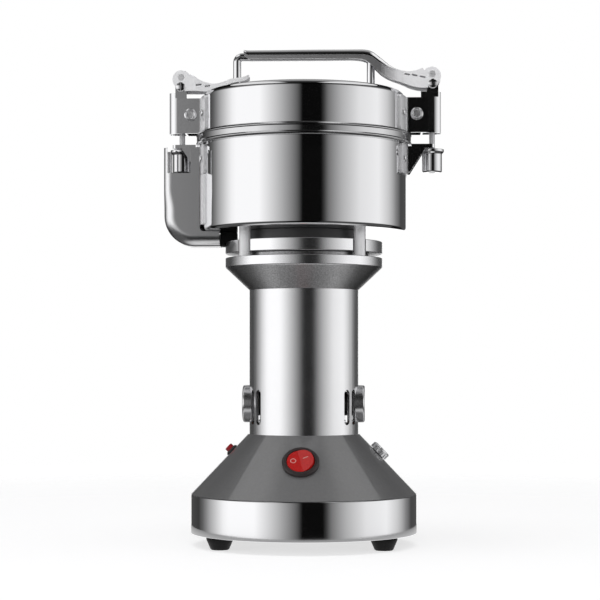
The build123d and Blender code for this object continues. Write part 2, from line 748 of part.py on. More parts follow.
def trunnion_place(clamp):
    pivot_r, pivot_z, nose_r = clamp
    a = radians(ECCENTRIC_ANGLE)
    return pivot_r + ECCENTRIC * cos(a), pivot_z + ECCENTRIC * sin(a)


def ear_of_lever(clamp):
    """Round ear that holds the lever pin and the trunnion above it."""
    pivot_r, pivot_z, nose_r = clamp
    head = Pos(pivot_r - 0.8, pivot_z + ECCENTRIC - 1.6) * Circle(EAR_R)
    heel = Pos(pivot_r, pivot_z) * Circle(PIN_R + 1.6)
    return make_hull(head.edges() + heel.edges())


def channel(clamp, top, under, flare, slots):
    """Pressed lever, open below, from the edges of its side view listed from the tip inboard."""
    pivot_r, pivot_z, nose_r = clamp
    x, z = trunnion_place(clamp)
    tip = top[0][0]
    outline = [
        Spline(*top, tangents=((1, (top[1][1] - top[0][1]) / (top[1][0] - tip)), (1, 0.4))),
        Polyline(top[-1], (pivot_r - EAR_R / 2 - 0.5, pivot_z + PIN_R + 1), under[-1]),
        Spline(*under),
        Line(under[0], top[0]),
    ]
    profile = make_face(outline) + ear_of_lever(clamp)
    side = side_plate(profile, -THROUGH, THROUGH)
    body = side & lever_plan(tip, flare, GRIP_HALF_W, EAR_HALF_W)
    body -= (Pos(0, 0, -LEVER_T) * side) & lever_plan(tip - 5, flare, GRIP_HALF_W - LEVER_T, CHEEK_Y)
    back = x - BARREL_R - REST_GAP
    body -= block(back, x + THROUGH, -CHEEK_Y, CHEEK_Y, z - THROUGH, z + THROUGH)
    for slot_x, slot_z in slots:
        body -= side_plate(Pos(slot_x, slot_z) * Rot(0, 0, -12) * SlotOverall(4.4, 1.3), -THROUGH, THROUGH)
    body -= cross_pin(TRUNNION_R + RUN_FIT, x, z, -THROUGH, THROUGH)
    return body - cross_pin(PIN_R + RUN_FIT, pivot_r, pivot_z, -THROUGH, THROUGH)


def lever_plan(tip, flare, half_grip, half_ear):
    """Block of a lever's plan outline, narrow at the grip and wide at the ears."""
    far = LID_R + CHEEK_OUT + THROUGH
    outline = Polyline(
        (tip, -half_grip), (flare - 12, -half_grip), (flare, -half_ear), (far, -half_ear),
        (far, half_ear), (flare, half_ear), (flare - 12, half_grip), (tip, half_grip), close=True,
    )
    return Pos(0, 0, LID_TOP_Z) * extrude(make_face(outline), 2 * BAIL_RISE, both=True)


def measured_from(x, z, *points):
    """Points given by their distance from a pin or a bend."""
    return [(x + across, z + up) for across, up in points]


def lever_right():
    pin_r, pin_z, nose_r = RIGHT_CLAMP
    top = measured_from(
        BAIL_HALF, BAIL_Z, (-97.5, 4.7), (-74, 4.8), (-50.8, 5.0), (-30, 5.0), (-10.8, 5.0), (-3.8, 4.8),
        (1.2, 3.3), (5.2, 0.4), (9.2, -2.9), (15.2, -7.9),
    )
    top += measured_from(pin_r, pin_z, (-23.5, 10.3), (-17.5, 9.1), (-7.5, 11.7))
    under = measured_from(
        BAIL_HALF, BAIL_Z, (-93.8, -2.2), (-72, -2.3), (-50.8, -2.3), (-30, -2.3), (-10.8, -2.5), (-4.8, -3.6),
        (1.4, -7.9), (9.2, -14.9),
    )
    under += measured_from(
        pin_r, pin_z, (-30.5, 3.5), (-24.5, 1.5), (-16.9, -1.5), (-11.5, -2.9), (-3.5, -3.1)
    )
    slots = measured_from(pin_r, pin_z, (-19.2, 7.0), (-13.6, 6.1), (-7.6, 4.9))
    return channel(RIGHT_CLAMP, top, under, pin_r - 15.5, slots)


def lever_left():
    pin_r, pin_z, nose_r = LEFT_CLAMP
    top = measured_from(
        pin_r, pin_z, (-51.5, 9.2), (-47, 7.6), (-38.5, 6.4), (-30, 3.4), (-23, 2.8), (-14, 5.5), (-7, 9.4)
    )
    under = measured_from(
        pin_r, pin_z, (-51.5, 6.4), (-47, 4.6), (-38.5, 3), (-30, -0.8), (-23, -3), (-16, -3.4), (-3, -3.4)
    )
    slots = measured_from(pin_r, pin_z, (-13.7, 1.5), (-20.1, 0.8))
    lever = channel(LEFT_CLAMP, top, under, pin_r - 11, slots)
    fork = BAIL_ROD_R + REST_GAP
    lever -= block(0, BAIL_HALF + fork + 1.5, -fork, fork, LID_TOP_Z, BAIL_Z)
    return to_left(lever)


def draw_bolt(clamp):
    x, z = trunnion_place(clamp)
    inner = ARM_HALF_W - ARM_T
    axle = cross_pin(TRUNNION_R, x, z, -EAR_HALF_W, EAR_HALF_W)
    barrel = cross_pin(BARREL_R, x, z, 0.5 - inner, inner - 0.5)
    stem = Pos(x, 0, 0) * rod(ROD_R, nut_foot() + 1.5, z + BARREL_R - 1)
    return stem + axle + barrel


def nut_foot():
    return SHELF_Z - NUT_GAP - NUT_L


def barrel_nut(clamp):
    x = trunnion_place(clamp)[0]
    low = nut_foot()
    top = low + NUT_L
    body = lathe(
        (ROD_R + RUN_FIT, low), (NUT_R - 0.8, low), (NUT_R, low + 0.8), (NUT_R, top - 3.6),
        (NUT_FLANGE_R, top - 2.0), (NUT_FLANGE_R, top), (ROD_R + RUN_FIT, top),
    )
    return Pos(x, 0, 0) * body


def bowl_bracket():
    z_high = RING_Z - 0.1
    plate = base_of_bracket(BOWL_R, z_high - BRACKET_PLATE_H, z_high)
    for hole in rivet_holes(BOWL_R, SHELF_Z - RIVET_DROP):
        plate -= hole
    root = BOWL_R + 0.9
    reach = BOWL_R + SHELF_OUT
    shelf = block(root, reach, -GUSSET_Y, GUSSET_Y, SHELF_Z, SHELF_Z + SHELF_T)
    shelf = fillet(shelf.edges().filter_by(Axis.Z).sort_by(Axis.X)[-2:], 2.5)
    shelf -= rod(RING_R + REST_GAP, RING_Z - 1, RING_TOP_Z)
    half = SHELF_SLOT_HALF_W
    mouth = block(BOWL_R + SHELF_SLOT_OUT, reach + 1, -half, half, SHELF_Z - 1, SHELF_Z + SHELF_T + 1)
    mouth = fillet(mouth.edges().filter_by(Axis.Z).sort_by(Axis.X)[:2], half - 0.4)
    shelf -= mouth
    foot = SHELF_Z - GUSSET_H
    toe = BOWL_R + 2.8
    tip = BOWL_R + GUSSET_OUT
    web = make_face(Polyline((root, foot), (toe, foot), (tip, SHELF_Z), (root, SHELF_Z), close=True))
    gusset = side_plate(web, GUSSET_Y - PLATE_T, GUSSET_Y)
    return plate + shelf + gusset + mirror(gusset, about=Plane.XZ)


def bowl_bracket_rivets():
    rivets = around(wall_rivet(BOWL_R, SHELF_Z - RIVET_DROP), rivet_angles())
    return group(rivets + [to_left(r) for r in rivets])


# Safety switch housing


def housing_outline(inset):
    """Side outline of the housing, drawn on +X; inset is the wall taken off all round."""
    wall = BOWL_R + REST_GAP
    top = SHELF_Z
    out = HOUSING_REACH - inset
    low = HOUSING_Z + inset
    bend = HOUSING_BEND - inset
    corner = BOWL_CORNER + inset
    grow = inset * 4
    under = BOWL_Z - REST_GAP + grow
    side = wall - grow
    edges = [
        Line((side, top + grow), (out, top + grow)),
        Line((out, top + grow), (out, low + bend)),
        RadiusArc((out, low + bend), (out - bend, low), bend),
        Line((out - bend, low), (HOUSING_INNER_R - grow, low)),
        Line((HOUSING_INNER_R - grow, low), (HOUSING_INNER_R - grow, under)),
        Line((HOUSING_INNER_R - grow, under), (side - corner, under)),
        RadiusArc((side - corner, under), (side, under + corner), -corner),
        Line((side, under + corner), (side, top + grow)),
    ]
    return make_face(edges)


def interlock_housing():
    half = HOUSING_HALF_W
    shell = side_plate(housing_outline(0), -half, half)
    rim = shell.edges().filter_by(
        lambda e: e.center().X > HOUSING_REACH - 0.6 * HOUSING_BEND and abs(abs(e.center().Y) - half) < 0.01
        and e.center().Z < SHELF_Z - 1
    )
    shell = fillet(rim, HOUSING_EDGE)
    shell -= side_plate(housing_outline(HOUSING_T), HOUSING_T - half, half - HOUSING_T)
    nut_r = trunnion_place(LEFT_CLAMP)[0]
    reach = NUT_FLANGE_R + 2 * REST_GAP
    low = nut_foot() - 1
    top = SHELF_Z + THROUGH
    shell -= block(nut_r - NUT_FLANGE_R + 0.9, nut_r + reach, -THROUGH, THROUGH, low, top)
    shell -= block(nut_r + ROD_R, nut_r + THROUGH, -NUT_FLANGE_R - 2, NUT_FLANGE_R + 2, low - 11, top)
    strip_top = strip_foot() + STRIP_H
    shell -= rod(BOWL_R + PLATE_T + REST_GAP, strip_top, top)
    return to_left(shell - rod(BOWL_R + REST_GAP, BOWL_Z + BOWL_CORNER, top))


def strip_foot():
    return BOWL_Z + BOWL_CORNER + 1.5


def housing_strips():
    low = strip_foot()
    strip = sector(BOWL_R + PLATE_T, BOWL_R, low, low + STRIP_H, STRIP_ANGLE)
    inner_angle = degrees(atan2(HOUSING_HALF_W - HOUSING_T, BOWL_R))
    return strip - sector(BOWL_R + PLATE_T + 1, BOWL_R - 1, low - 6, low + STRIP_H + 6, inner_angle - 1.5)


def cable_grommet():
    reach = HOUSING_INNER_R - REST_GAP / 3
    tall = block(NECK_R - 8.5, reach, -9, 9, DISC_TOP_Z, BOWL_Z - REST_GAP / 3)
    lip = block(NECK_R + REST_GAP / 2, reach, -9, 9, DISC_TOP_Z - 3, DISC_TOP_Z)
    return to_left(tall + lip)


def interlock_switch():
    inner = HOUSING_HALF_W - HOUSING_T - REST_GAP
    low = HOUSING_Z + MICROSWITCH_RISE
    out = HOUSING_REACH - MICROSWITCH_INSET
    body = block(out - MICROSWITCH_W, out, -inner, inner, low, low + MICROSWITCH_H)
    return to_left(fillet(body.edges().filter_by(Axis.Y), 2.0))


# Controls


def outer_edges(shape, seat):
    """Edges of a control farthest out along its seat."""
    return shape.edges().group_by(lambda e: seat.to_local_coords(e.center()).Z)[-1]


def switch_bezel():
    seat = on_cone(-90, SWITCH_Z, SWITCH_TURN)
    mouth_r = ROCKER_R + REST_GAP
    flange = extrude(seat * Circle(BEZEL_R), BEZEL_H)
    flange = fillet(outer_edges(flange, seat), 1.6)
    body = extrude(seat.offset(-14) * Circle(mouth_r + 1.0), 14)
    pivot = seat.offset(ROCKER_RISE)
    return flange + body - pivot * Sphere(mouth_r) - extrude(pivot * Circle(mouth_r), 10)


def switch_rocker():
    top = Pos(0, 0, 1.5) * Box(60, 60, 40, align=(Align.CENTER, Align.CENTER, Align.MIN))
    low = Pos(0, 0, -6) * Box(60, 60, 40, align=(Align.CENTER, Align.CENTER, Align.MAX))
    dish = (Rot(0, ROCKER_TILT, 0) * top) & (Rot(0, -ROCKER_TILT, 0) * top)
    rocker = Sphere(ROCKER_R) - dish - low
    pivot = on_cone(-90, SWITCH_Z, SWITCH_TURN).offset(ROCKER_RISE)
    return pivot * (Rot(0, -ROCKER_TILT, 0) * rocker)


def reset_body():
    seat = on_cone(180, RESET_Z)
    collar = extrude(seat * Circle(RESET_COLLAR_R), RESET_COLLAR_H)
    collar = chamfer(outer_edges(collar, seat), 1.2)
    body = extrude(seat.offset(-16) * Circle(RESET_COLLAR_R - 0.7), 16)
    return collar + body - extrude(seat.offset(-7) * Circle(RESET_R + RUN_FIT), 12)


def reset_button():
    seat = on_cone(180, RESET_Z)
    length = 4 + RESET_COLLAR_H + RESET_PROUD
    button = extrude(seat.offset(-4) * Circle(RESET_R), length)
    return fillet(outer_edges(button, seat), 0.8)


def fuse_body():
    seat = on_cone(0, FUSE_Z)
    shell = extrude(seat.offset(-20) * Circle(FUSE_R - 2.1), 20)
    return shell - extrude(seat.offset(-14) * Circle(FUSE_PLUG_R + RUN_FIT), 20)


def fuse_cap():
    seat = on_cone(0, FUSE_Z)
    foot = seat.offset(REST_GAP)
    cap = fillet(outer_edges(extrude(foot * Circle(FUSE_R), FUSE_H - REST_GAP), seat), 1.4)
    for i in range(18):
        cap -= extrude(foot * Rot(0, 0, 20 * i) * Pos(FUSE_R + 0.15, 0) * Circle(0.55), 3.0)
    slot = extrude(seat.offset(FUSE_H - 1) * Rectangle(9, 1.2), 3)
    return cap - slot + extrude(seat.offset(-12) * Circle(FUSE_PLUG_R), 12 + REST_GAP)


# Lid


def lid_shell():
    low = BOWL_TOP_Z + GASKET_T
    outer = rod(LID_R, low, LID_TOP_Z)
    outer = fillet(outer.edges().filter_by(GeomType.CIRCLE).sort_by(Axis.Z)[-1:], LID_CORNER)
    inner = rod(LID_R - LID_T, low - 1, LID_TOP_Z - LID_T)
    inner = fillet(inner.edges().filter_by(GeomType.CIRCLE).sort_by(Axis.Z)[-1:], LID_CORNER - LID_T)
    shell = outer - inner
    for hole in rivet_holes(LID_R, ARM_PIVOT_Z):
        shell -= hole
        shell -= to_left(hole)
    return shell


def lid_gasket():
    return tube(LID_R - 0.2, LID_R - 6, BOWL_TOP_Z, BOWL_TOP_Z + GASKET_T)


def bail_handle():
    start = (-BAIL_HALF, 0, LID_TOP_Z)
    path = FilletPolyline(
        start, (-BAIL_HALF, 0, BAIL_Z), (BAIL_HALF, 0, BAIL_Z), (BAIL_HALF, 0, LID_TOP_Z), radius=BAIL_BEND
    )
    bar = sweep(Plane(origin=start, z_dir=(0, 0, 1)) * Circle(BAIL_ROD_R), path)
    foot = Pos(BAIL_HALF, 0, 0) * rod(5.2, LID_TOP_Z, LID_TOP_Z + 1.0)
    return bar + foot + to_left(foot)


NODES = {
    "base_rim": base_rim,
    "base_cone": base_cone,
    "base_plate": base_plate,
    "rubber_feet": rubber_feet,
    "foot_screws": foot_screws,
    "cord_gland": cord_gland,
    "motor_housing": motor_housing,
    "brush_covers": brush_covers,
    "brush_holders": brush_holders,
    "carbon_brushes": carbon_brushes,
    "brush_springs": brush_springs,
    "stator_core": stator_core,
    "field_coils": field_coils,
    "bearing_bracket": bearing_bracket,
    "lower_bearing": lower_bearing,
    "upper_bearing": upper_bearing,
    "neck_casting": neck_casting,
    "pillars": pillars,
    "bowl": bowl,
    "bowl_ring": bowl_ring,
    "bowl_screws": bowl_screws,
    "shaft_seal": shaft_seal,
    "bowl_bracket_right": bowl_bracket,
    "bowl_bracket_left": lambda: to_left(bowl_bracket()),
    "bowl_bracket_rivets": bowl_bracket_rivets,
    "interlock_housing": interlock_housing,
    "housing_strips": lambda: to_left(housing_strips()),
    "interlock_switch": interlock_switch,
    "cable_grommet": cable_grommet,
    "switch_bezel": switch_bezel,
    "switch_rocker": switch_rocker,
    "reset_body": reset_body,
    "reset_button": reset_button,
    "fuse_body": fuse_body,
    "fuse_cap": fuse_cap,
    "shaft": shaft,
    "armature": armature,
    "commutator": commutator,
    "cooling_fan": cooling_fan,
    "blade_spacers": blade_spacers,
    "lower_blade": lower_blade,
    "upper_blade": upper_blade,
    "blade_nut": blade_nut,
    "lid_shell": lid_shell,
    "lid_gasket": lid_gasket,
    "bail_handle": bail_handle,
    "lid_bracket_right": lid_bracket,
    "lid_bracket_left": lambda: to_left(lid_bracket()),
    "lid_bracket_rivets": lid_bracket_rivets,
    "arm_rivets": arm_rivets,
    "clamp_arm_right": lambda: clamp_arm(RIGHT_CLAMP),
    "clamp_arm_left": lambda: to_left(clamp_arm(LEFT_CLAMP)),
    "lever_right": lever_right,
    "lever_left": lever_left,
    "lever_pins_right": lambda: lever_pins(RIGHT_CLAMP),
    "lever_pins_left": lambda: to_left(lever_pins(LEFT_CLAMP)),
    "draw_bolt_right": lambda: draw_bolt(RIGHT_CLAMP),
    "draw_bolt_left": lambda: to_left(draw_bolt(LEFT_CLAMP)),
    "barrel_nut_right": lambda: barrel_nut(RIGHT_CLAMP),
    "barrel_nut_left": lambda: to_left(barrel_nut(LEFT_CLAMP)),
}

os.makedirs("parts", exist_ok=True)
for name, make in NODES.items():
    export_step(make(), f"parts/{name}.step")
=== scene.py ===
import json
from math import cos, hypot, pi, radians, sin, sqrt, tan

import bmesh
import bpy
from mathutils import Matrix, Vector
from mathutils.bvhtree import BVHTree

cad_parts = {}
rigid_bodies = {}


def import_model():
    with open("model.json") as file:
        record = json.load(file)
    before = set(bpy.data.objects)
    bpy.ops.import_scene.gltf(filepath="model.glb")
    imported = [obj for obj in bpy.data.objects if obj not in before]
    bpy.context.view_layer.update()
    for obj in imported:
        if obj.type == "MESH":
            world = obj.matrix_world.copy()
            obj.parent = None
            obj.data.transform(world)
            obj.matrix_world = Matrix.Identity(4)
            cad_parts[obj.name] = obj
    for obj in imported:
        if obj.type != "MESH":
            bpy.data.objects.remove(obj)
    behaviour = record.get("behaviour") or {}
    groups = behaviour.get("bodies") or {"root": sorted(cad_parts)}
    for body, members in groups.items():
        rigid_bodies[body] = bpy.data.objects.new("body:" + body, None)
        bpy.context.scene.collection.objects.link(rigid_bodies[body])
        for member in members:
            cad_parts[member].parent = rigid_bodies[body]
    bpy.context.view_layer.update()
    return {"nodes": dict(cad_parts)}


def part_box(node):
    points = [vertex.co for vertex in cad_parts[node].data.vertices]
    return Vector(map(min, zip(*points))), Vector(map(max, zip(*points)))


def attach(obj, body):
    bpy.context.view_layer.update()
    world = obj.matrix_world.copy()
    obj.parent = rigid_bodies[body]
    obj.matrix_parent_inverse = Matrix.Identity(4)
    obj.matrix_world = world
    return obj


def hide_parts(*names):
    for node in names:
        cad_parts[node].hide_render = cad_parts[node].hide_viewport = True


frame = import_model()
nodes = frame["nodes"]

# Camera level with the neck, a little to the right of the switch
CAMERA_TURN = radians(2.2)
CAMERA_DISTANCE = 1.37
CAMERA_HEIGHT = 0.1385
CAMERA_SHIFT = (-0.0065, 0.1035)
LENS = 108.16
SENSOR_W = 36
VIEW_DEPTH = 50

# Floor paper, and the patch of table that undersides mirror, with its level by distance from the middle
FLOOR_R = 1.25
FLOOR_FADE = (0.3 * FLOOR_R, 0.98 * FLOOR_R)
FLOOR_GLOW = 0.64
TABLE_R = 0.2
TABLE_Z = 0.0004
TABLE_LEVELS = [(0.0, 1.6), (0.086, 1.6), (0.1, 0.8), (0.2, 0.3)]

# Room that polished pieces mirror: level from below to above, dark in front, a bright strip at each side
ROOM_LEVEL = 0.7
CEILING_LEVEL = 0.4
CEILING_RISE = [(0.0, 0.03), (0.45, 0.05), (0.6, CEILING_LEVEL), (1.0, CEILING_LEVEL)]
CEILING_FRONT = 0.04
CEILING_SIDES = 2.2
FRONT_TO_BACK = (-0.5, 0.4)
MIDDLE_TO_SIDE = (0.2, 0.42)

# Upright tent, with its level by height and by angle from the camera: dark behind the camera, white at
# both sides, and dim at the back but for a bright strip behind the mill
TENT_R = 2.1
TENT_TURN = pi / 2 - CAMERA_TURN
TENT_EDGES = [(-0.9, 0.03), (-0.5, 0.12), (-0.3, 0.4), (-0.17, 1.0),
              (0.9, 1.0), (1.1, 0.35), (1.5, 0.1), (2.3, 0.06)]
TENT_LEVELS = [
    (-180, 1.3), (-170, 1.2), (-166, 0.08), (-132, 0.05), (-122, 0.14), (-115, 0.27), (-100, 0.65),
    (-87, 1.05), (-80, 1.15), (-50, 1.15), (-36, 0.8), (-20, 0.41), (-7, 0.13), (-2, 0.003),
    (19, 0.003), (22.5, 0.06), (27, 0.2), (42, 0.52), (64, 0.9), (90, 1.02), (108, 0.68),
    (124, 0.26), (137, 0.07), (165, 0.08), (169, 1.2), (179, 1.3),
]

# Lamps by name: place, width and power, all aimed at one point of the mill
LAMPS = {
    "overhead": ((-0.2, -0.3, 1.9), 1.3, 9.0),
    "front_fill": ((0.15, -1.7, 0.45), 0.9, 9.5),
}
LAMP_AIM = (0, 0, 0.2)

# Small distances, with WELD the gap between doubled points and RAY_RUN how far off a box a ray starts,
# and the angles up to which faces are flat, from which edges are sharp, and between points of an arc
MICRON = 0.000001
WELD = 4 * MICRON
FLAT = radians(0.4)
SHARP = radians(32)
ARC_STEP = radians(9)
RAY_RUN = 0.01


# Shader nodes


def new_group(name, inputs, outputs):
    """Empty shader group; inputs maps each name to its default, outputs each name to its socket type."""
    group = bpy.data.node_groups.new(name, "ShaderNodeTree")
    for label, value in inputs.items():
        kind = "NodeSocketColor" if isinstance(value, tuple) else "NodeSocketFloat"
        socket = group.interface.new_socket(label, in_out="INPUT", socket_type=kind)
        socket.default_value = value
    for label, kind in outputs.items():
        group.interface.new_socket(label, in_out="OUTPUT", socket_type=kind)
    source = group.nodes.new("NodeGroupInput")
    sink = group.nodes.new("NodeGroupOutput")
    return group, source, sink


def add(tree, kind, links=None, **settings):
    """New node with its settings and its inputs, each a value or the output that feeds it."""
    node = tree.nodes.new(kind)
    for key, value in settings.items():
        setattr(node, key, value)
    for key, value in (links or {}).items():
        socket = node.inputs[key]
        if isinstance(value, bpy.types.NodeSocket):
            tree.links.new(value, socket)
        else:
            socket.default_value = value
    return node


def calc(tree, operation, *feeds):
    """Value worked out from plain values."""
    return add(tree, "ShaderNodeMath", dict(enumerate(feeds)), operation=operation).outputs[0]


def measured(tree, operation, *feeds):
    """Value worked out from vectors, such as a length."""
    work = add(tree, "ShaderNodeVectorMath", dict(enumerate(feeds)), operation=operation)
    return work.outputs["Value"]


def ranged(tree, feed, start, end, first=0.0, last=1.0, **settings):
    """Value that runs from first to last while its feed runs from start to end."""
    links = {0: feed, 1: start, 2: end, 3: first, 4: last}
    return add(tree, "ShaderNodeMapRange", links, **settings).outputs[0]


def mixed(tree, share, first, second, **settings):
    """Colour between two others."""
    links = {0: share, 6: first, 7: second}
    return add(tree, "ShaderNodeMix", links, data_type="RGBA", **settings).outputs[2]


def object_place(tree):
    """Point on the surface, in the object's frame."""
    return add(tree, "ShaderNodeTexCoord").outputs["Object"]


def parts_of(tree, vector):
    """X, Y and Z of a vector, by name."""
    return add(tree, "ShaderNodeSeparateXYZ", {0: vector}).outputs


def from_axis(tree, parts):
    """Distance from the upright axis."""
    flat = add(tree, "ShaderNodeCombineXYZ", {"X": parts["X"], "Y": parts["Y"]})
    return measured(tree, "LENGTH", flat.outputs[0])


def from_middle(tree):
    """Distance to the left or right of the upright axis."""
    return calc(tree, "ABSOLUTE", parts_of(tree, object_place(tree))["X"])


def level_ramp(tree, feed, stops):
    """Grey ramp through (place, level) stops."""
    ramp = add(tree, "ShaderNodeValToRGB", {0: feed})
    marks = ramp.color_ramp.elements
    while len(marks) > 1:
        marks.remove(marks[-1])
    marks[0].position = stops[0][0]
    marks[0].color = (*[stops[0][1]] * 3, 1)
    for place, level in stops[1:]:
        marks.new(place).color = (level, level, level, 1)
    return ramp.outputs[0]


# Shader node groups


def speckle_group():
    """Fine grain of a blasted, cast or moulded surface."""
    valley, peak = 0.3, 0.7
    group, source, sink = new_group(
        "fine_grain",
        {"Scale": 900.0, "Dark": (0.4, 0.4, 0.4, 1.0), "Light": (0.6, 0.6, 0.6, 1.0)},
        {"Color": "NodeSocketColor", "Height": "NodeSocketFloat"},
    )
    noise = add(group, "ShaderNodeTexNoise", {
        "Vector": object_place(group), "Scale": source.outputs["Scale"], "Detail": 3.0, "Roughness": 0.6,
    })
    height = ranged(group, noise.outputs["Fac"], valley, peak)
    tone = mixed(group, height, source.outputs["Dark"], source.outputs["Light"])
    group.links.new(tone, sink.inputs["Color"])
    group.links.new(height, sink.inputs["Height"])
    return group


def handling_group():
    """Soft patches left by polishing and by hands, which change the roughness."""
    clear, full = 0.35, 0.75
    group, source, sink = new_group(
        "handling_marks", {"Scale": 22.0, "Clean": 0.04, "Dull": 0.09}, {"Roughness": "NodeSocketFloat"},
    )
    cloud = add(group, "ShaderNodeTexNoise", {
        "Vector": object_place(group), "Scale": source.outputs["Scale"], "Detail": 5.0, "Distortion": 0.6,
    })
    clean, dull = source.outputs["Clean"], source.outputs["Dull"]
    level = ranged(group, cloud.outputs["Fac"], clear, full, clean, dull)
    group.links.new(level, sink.inputs["Roughness"])
    return group


def turning_group():
    """Faint rings that turning or spinning leaves about the upright axis."""
    group, source, sink = new_group(
        "turned_rings", {"Fineness": 1800.0, "Wander": 0.02}, {"Height": "NodeSocketFloat"},
    )
    place = object_place(group)
    parts = parts_of(group, place)
    across = calc(group, "SUBTRACT", from_axis(group, parts), parts["Z"])
    squeezed = add(group, "ShaderNodeVectorMath", {0: place, "Scale": source.outputs["Wander"]},
                   operation="SCALE")
    along = add(group, "ShaderNodeCombineXYZ", {"X": across, "Y": across})
    where = add(group, "ShaderNodeVectorMath", {0: along.outputs[0], 1: squeezed.outputs[0]},
                operation="ADD")
    rings = add(group, "ShaderNodeTexNoise", {
        "Vector": where.outputs[0], "Scale": source.outputs["Fineness"], "Detail": 2.0,
    })
    group.links.new(rings.outputs["Fac"], sink.inputs["Height"])
    return group


def ripple_group():
    """Even waves along one axis, such as laminations, laid wire or bars."""
    group, source, sink = new_group(
        "even_ripple", {"Pitch": 0.001, "X": 0.0, "Y": 0.0, "Z": 1.0}, {"Height": "NodeSocketFloat"},
    )
    aim = add(group, "ShaderNodeCombineXYZ", {axis: source.outputs[axis] for axis in "XYZ"})
    along = measured(group, "DOT_PRODUCT", object_place(group), aim.outputs[0])
    turns = calc(group, "DIVIDE", along, source.outputs["Pitch"])
    wave = calc(group, "SINE", calc(group, "MULTIPLY", turns, 2 * pi))
    group.links.new(ranged(group, wave, -1.0, 1.0), sink.inputs["Height"])
    return group


GRAIN = speckle_group()
HANDLING = handling_group()
TURNING = turning_group()
RIPPLE = ripple_group()


# Materials


def grey(level):
    """Neutral colour with a trace of blue."""
    blue_share = 1.015
    return (level, level, level * blue_share, 1.0)


def place_group(tree, group, values):
    node = tree.nodes.new("ShaderNodeGroup")
    node.node_tree = group
    for key, value in values.items():
        node.inputs[key].default_value = value
    return node


def new_material(name, **sockets):
    """Material with one Principled shader whose plain values are set on its sockets."""
    material = bpy.data.materials.new(name)
    material.use_nodes = True
    shader = material.node_tree.nodes["Principled BSDF"]
    for label, value in sockets.items():
        shader.inputs[label.replace("_", " ")].default_value = value
    return material, material.node_tree, shader


def bump(tree, shader, height, depth):
    """Height of a bump, in metres, onto the shader's normal."""
    node = add(tree, "ShaderNodeBump", {"Height": height, "Distance": depth, "Strength": 1.0})
    tree.links.new(node.outputs["Normal"], shader.inputs["Normal"])


def handled(tree, shader, scale, clean, dull):
    """Handling marks onto the shader's roughness."""
    marks = place_group(tree, HANDLING, {"Scale": scale, "Clean": clean, "Dull": dull})
    tree.links.new(marks.outputs["Roughness"], shader.inputs["Roughness"])


def grain_over(tree, shader, dark, light, scale, depth):
    """Grain onto the shader's colour and normal."""
    grain = place_group(tree, GRAIN, {"Scale": scale, "Dark": dark, "Light": light})
    tree.links.new(grain.outputs["Color"], shader.inputs["Base Color"])
    bump(tree, shader, grain.outputs["Height"], depth)


def mirror_steel(name, tone, clean, dull, ring_depth):
    """Polished steel or chrome, with faint rings and handling marks."""
    mark_scale, ring_scale, wander = 18.0, 1400.0, 0.01
    material, tree, shader = new_material(name, Base_Color=tone, Metallic=1.0)
    handled(tree, shader, mark_scale, clean, dull)
    rings = place_group(tree, TURNING, {"Fineness": ring_scale, "Wander": wander})
    bump(tree, shader, rings.outputs["Height"], ring_depth)
    return material


def grained(name, dark, light, clean, dull, scale, depth, metallic=0.0, **sockets):
    """Surface with a fine all-over grain: satin steel, enamel, rubber and mouldings."""
    mark_scale = 30.0
    material, tree, shader = new_material(name, Metallic=metallic, **sockets)
    grain_over(tree, shader, dark, light, scale, depth)
    handled(tree, shader, mark_scale, clean, dull)
    return material


def rippled(name, dark, light, metallic, roughness, pitch, axis, depth):
    """Surface with an even ripple: laminations, windings and bars."""
    material, tree, shader = new_material(name, Metallic=metallic, Roughness=roughness)
    ripple = place_group(tree, RIPPLE, {"Pitch": pitch, "X": axis[0], "Y": axis[1], "Z": axis[2]})
    height = ripple.outputs["Height"]
    tree.links.new(mixed(tree, height, dark, light), shader.inputs["Base Color"])
    bump(tree, shader, height, depth)
    return material


def turned_and_cast(name, cast_dark, cast_light, turned_r, core_z):
    """Casting left grainy, turned bright outside a radius, and dull above a height, where painted shade
    also darkens it like the dim core under the bowl.
    """
    # The core's dark grey is painted shade for the dim core under the bowl, not the casting's own colour.
    turned_tone, painted_core_shade = grey(0.92), grey(0.2)
    cast_rough, turned_rough, core_rough = 0.3, 0.2, 0.6
    grain_scale, cast_depth, turned_relief = 1000.0, 50 * MICRON, 0.08
    step_r, step_z = 0.0004, 0.0005
    material, tree, shader = new_material(name, Metallic=1.0)
    grain = place_group(tree, GRAIN, {"Scale": grain_scale, "Dark": cast_dark, "Light": cast_light})
    parts = parts_of(tree, object_place(tree))
    bright = ranged(tree, from_axis(tree, parts), turned_r - step_r, turned_r)
    core = ranged(tree, parts["Z"], core_z, core_z + step_z)
    tone = mixed(tree, bright, grain.outputs["Color"], turned_tone)
    # Above core_z the colour turns to the painted shade of the core under the bowl.
    tree.links.new(mixed(tree, core, tone, painted_core_shade), shader.inputs["Base Color"])
    rough = ranged(tree, bright, 0.0, 1.0, cast_rough, turned_rough)
    tree.links.new(ranged(tree, core, 0.0, 1.0, rough, core_rough), shader.inputs["Roughness"])
    relief = ranged(tree, bright, 0.0, 1.0, 1.0, turned_relief)
    bump(tree, shader, calc(tree, "MULTIPLY", grain.outputs["Height"], relief), cast_depth)
    return material


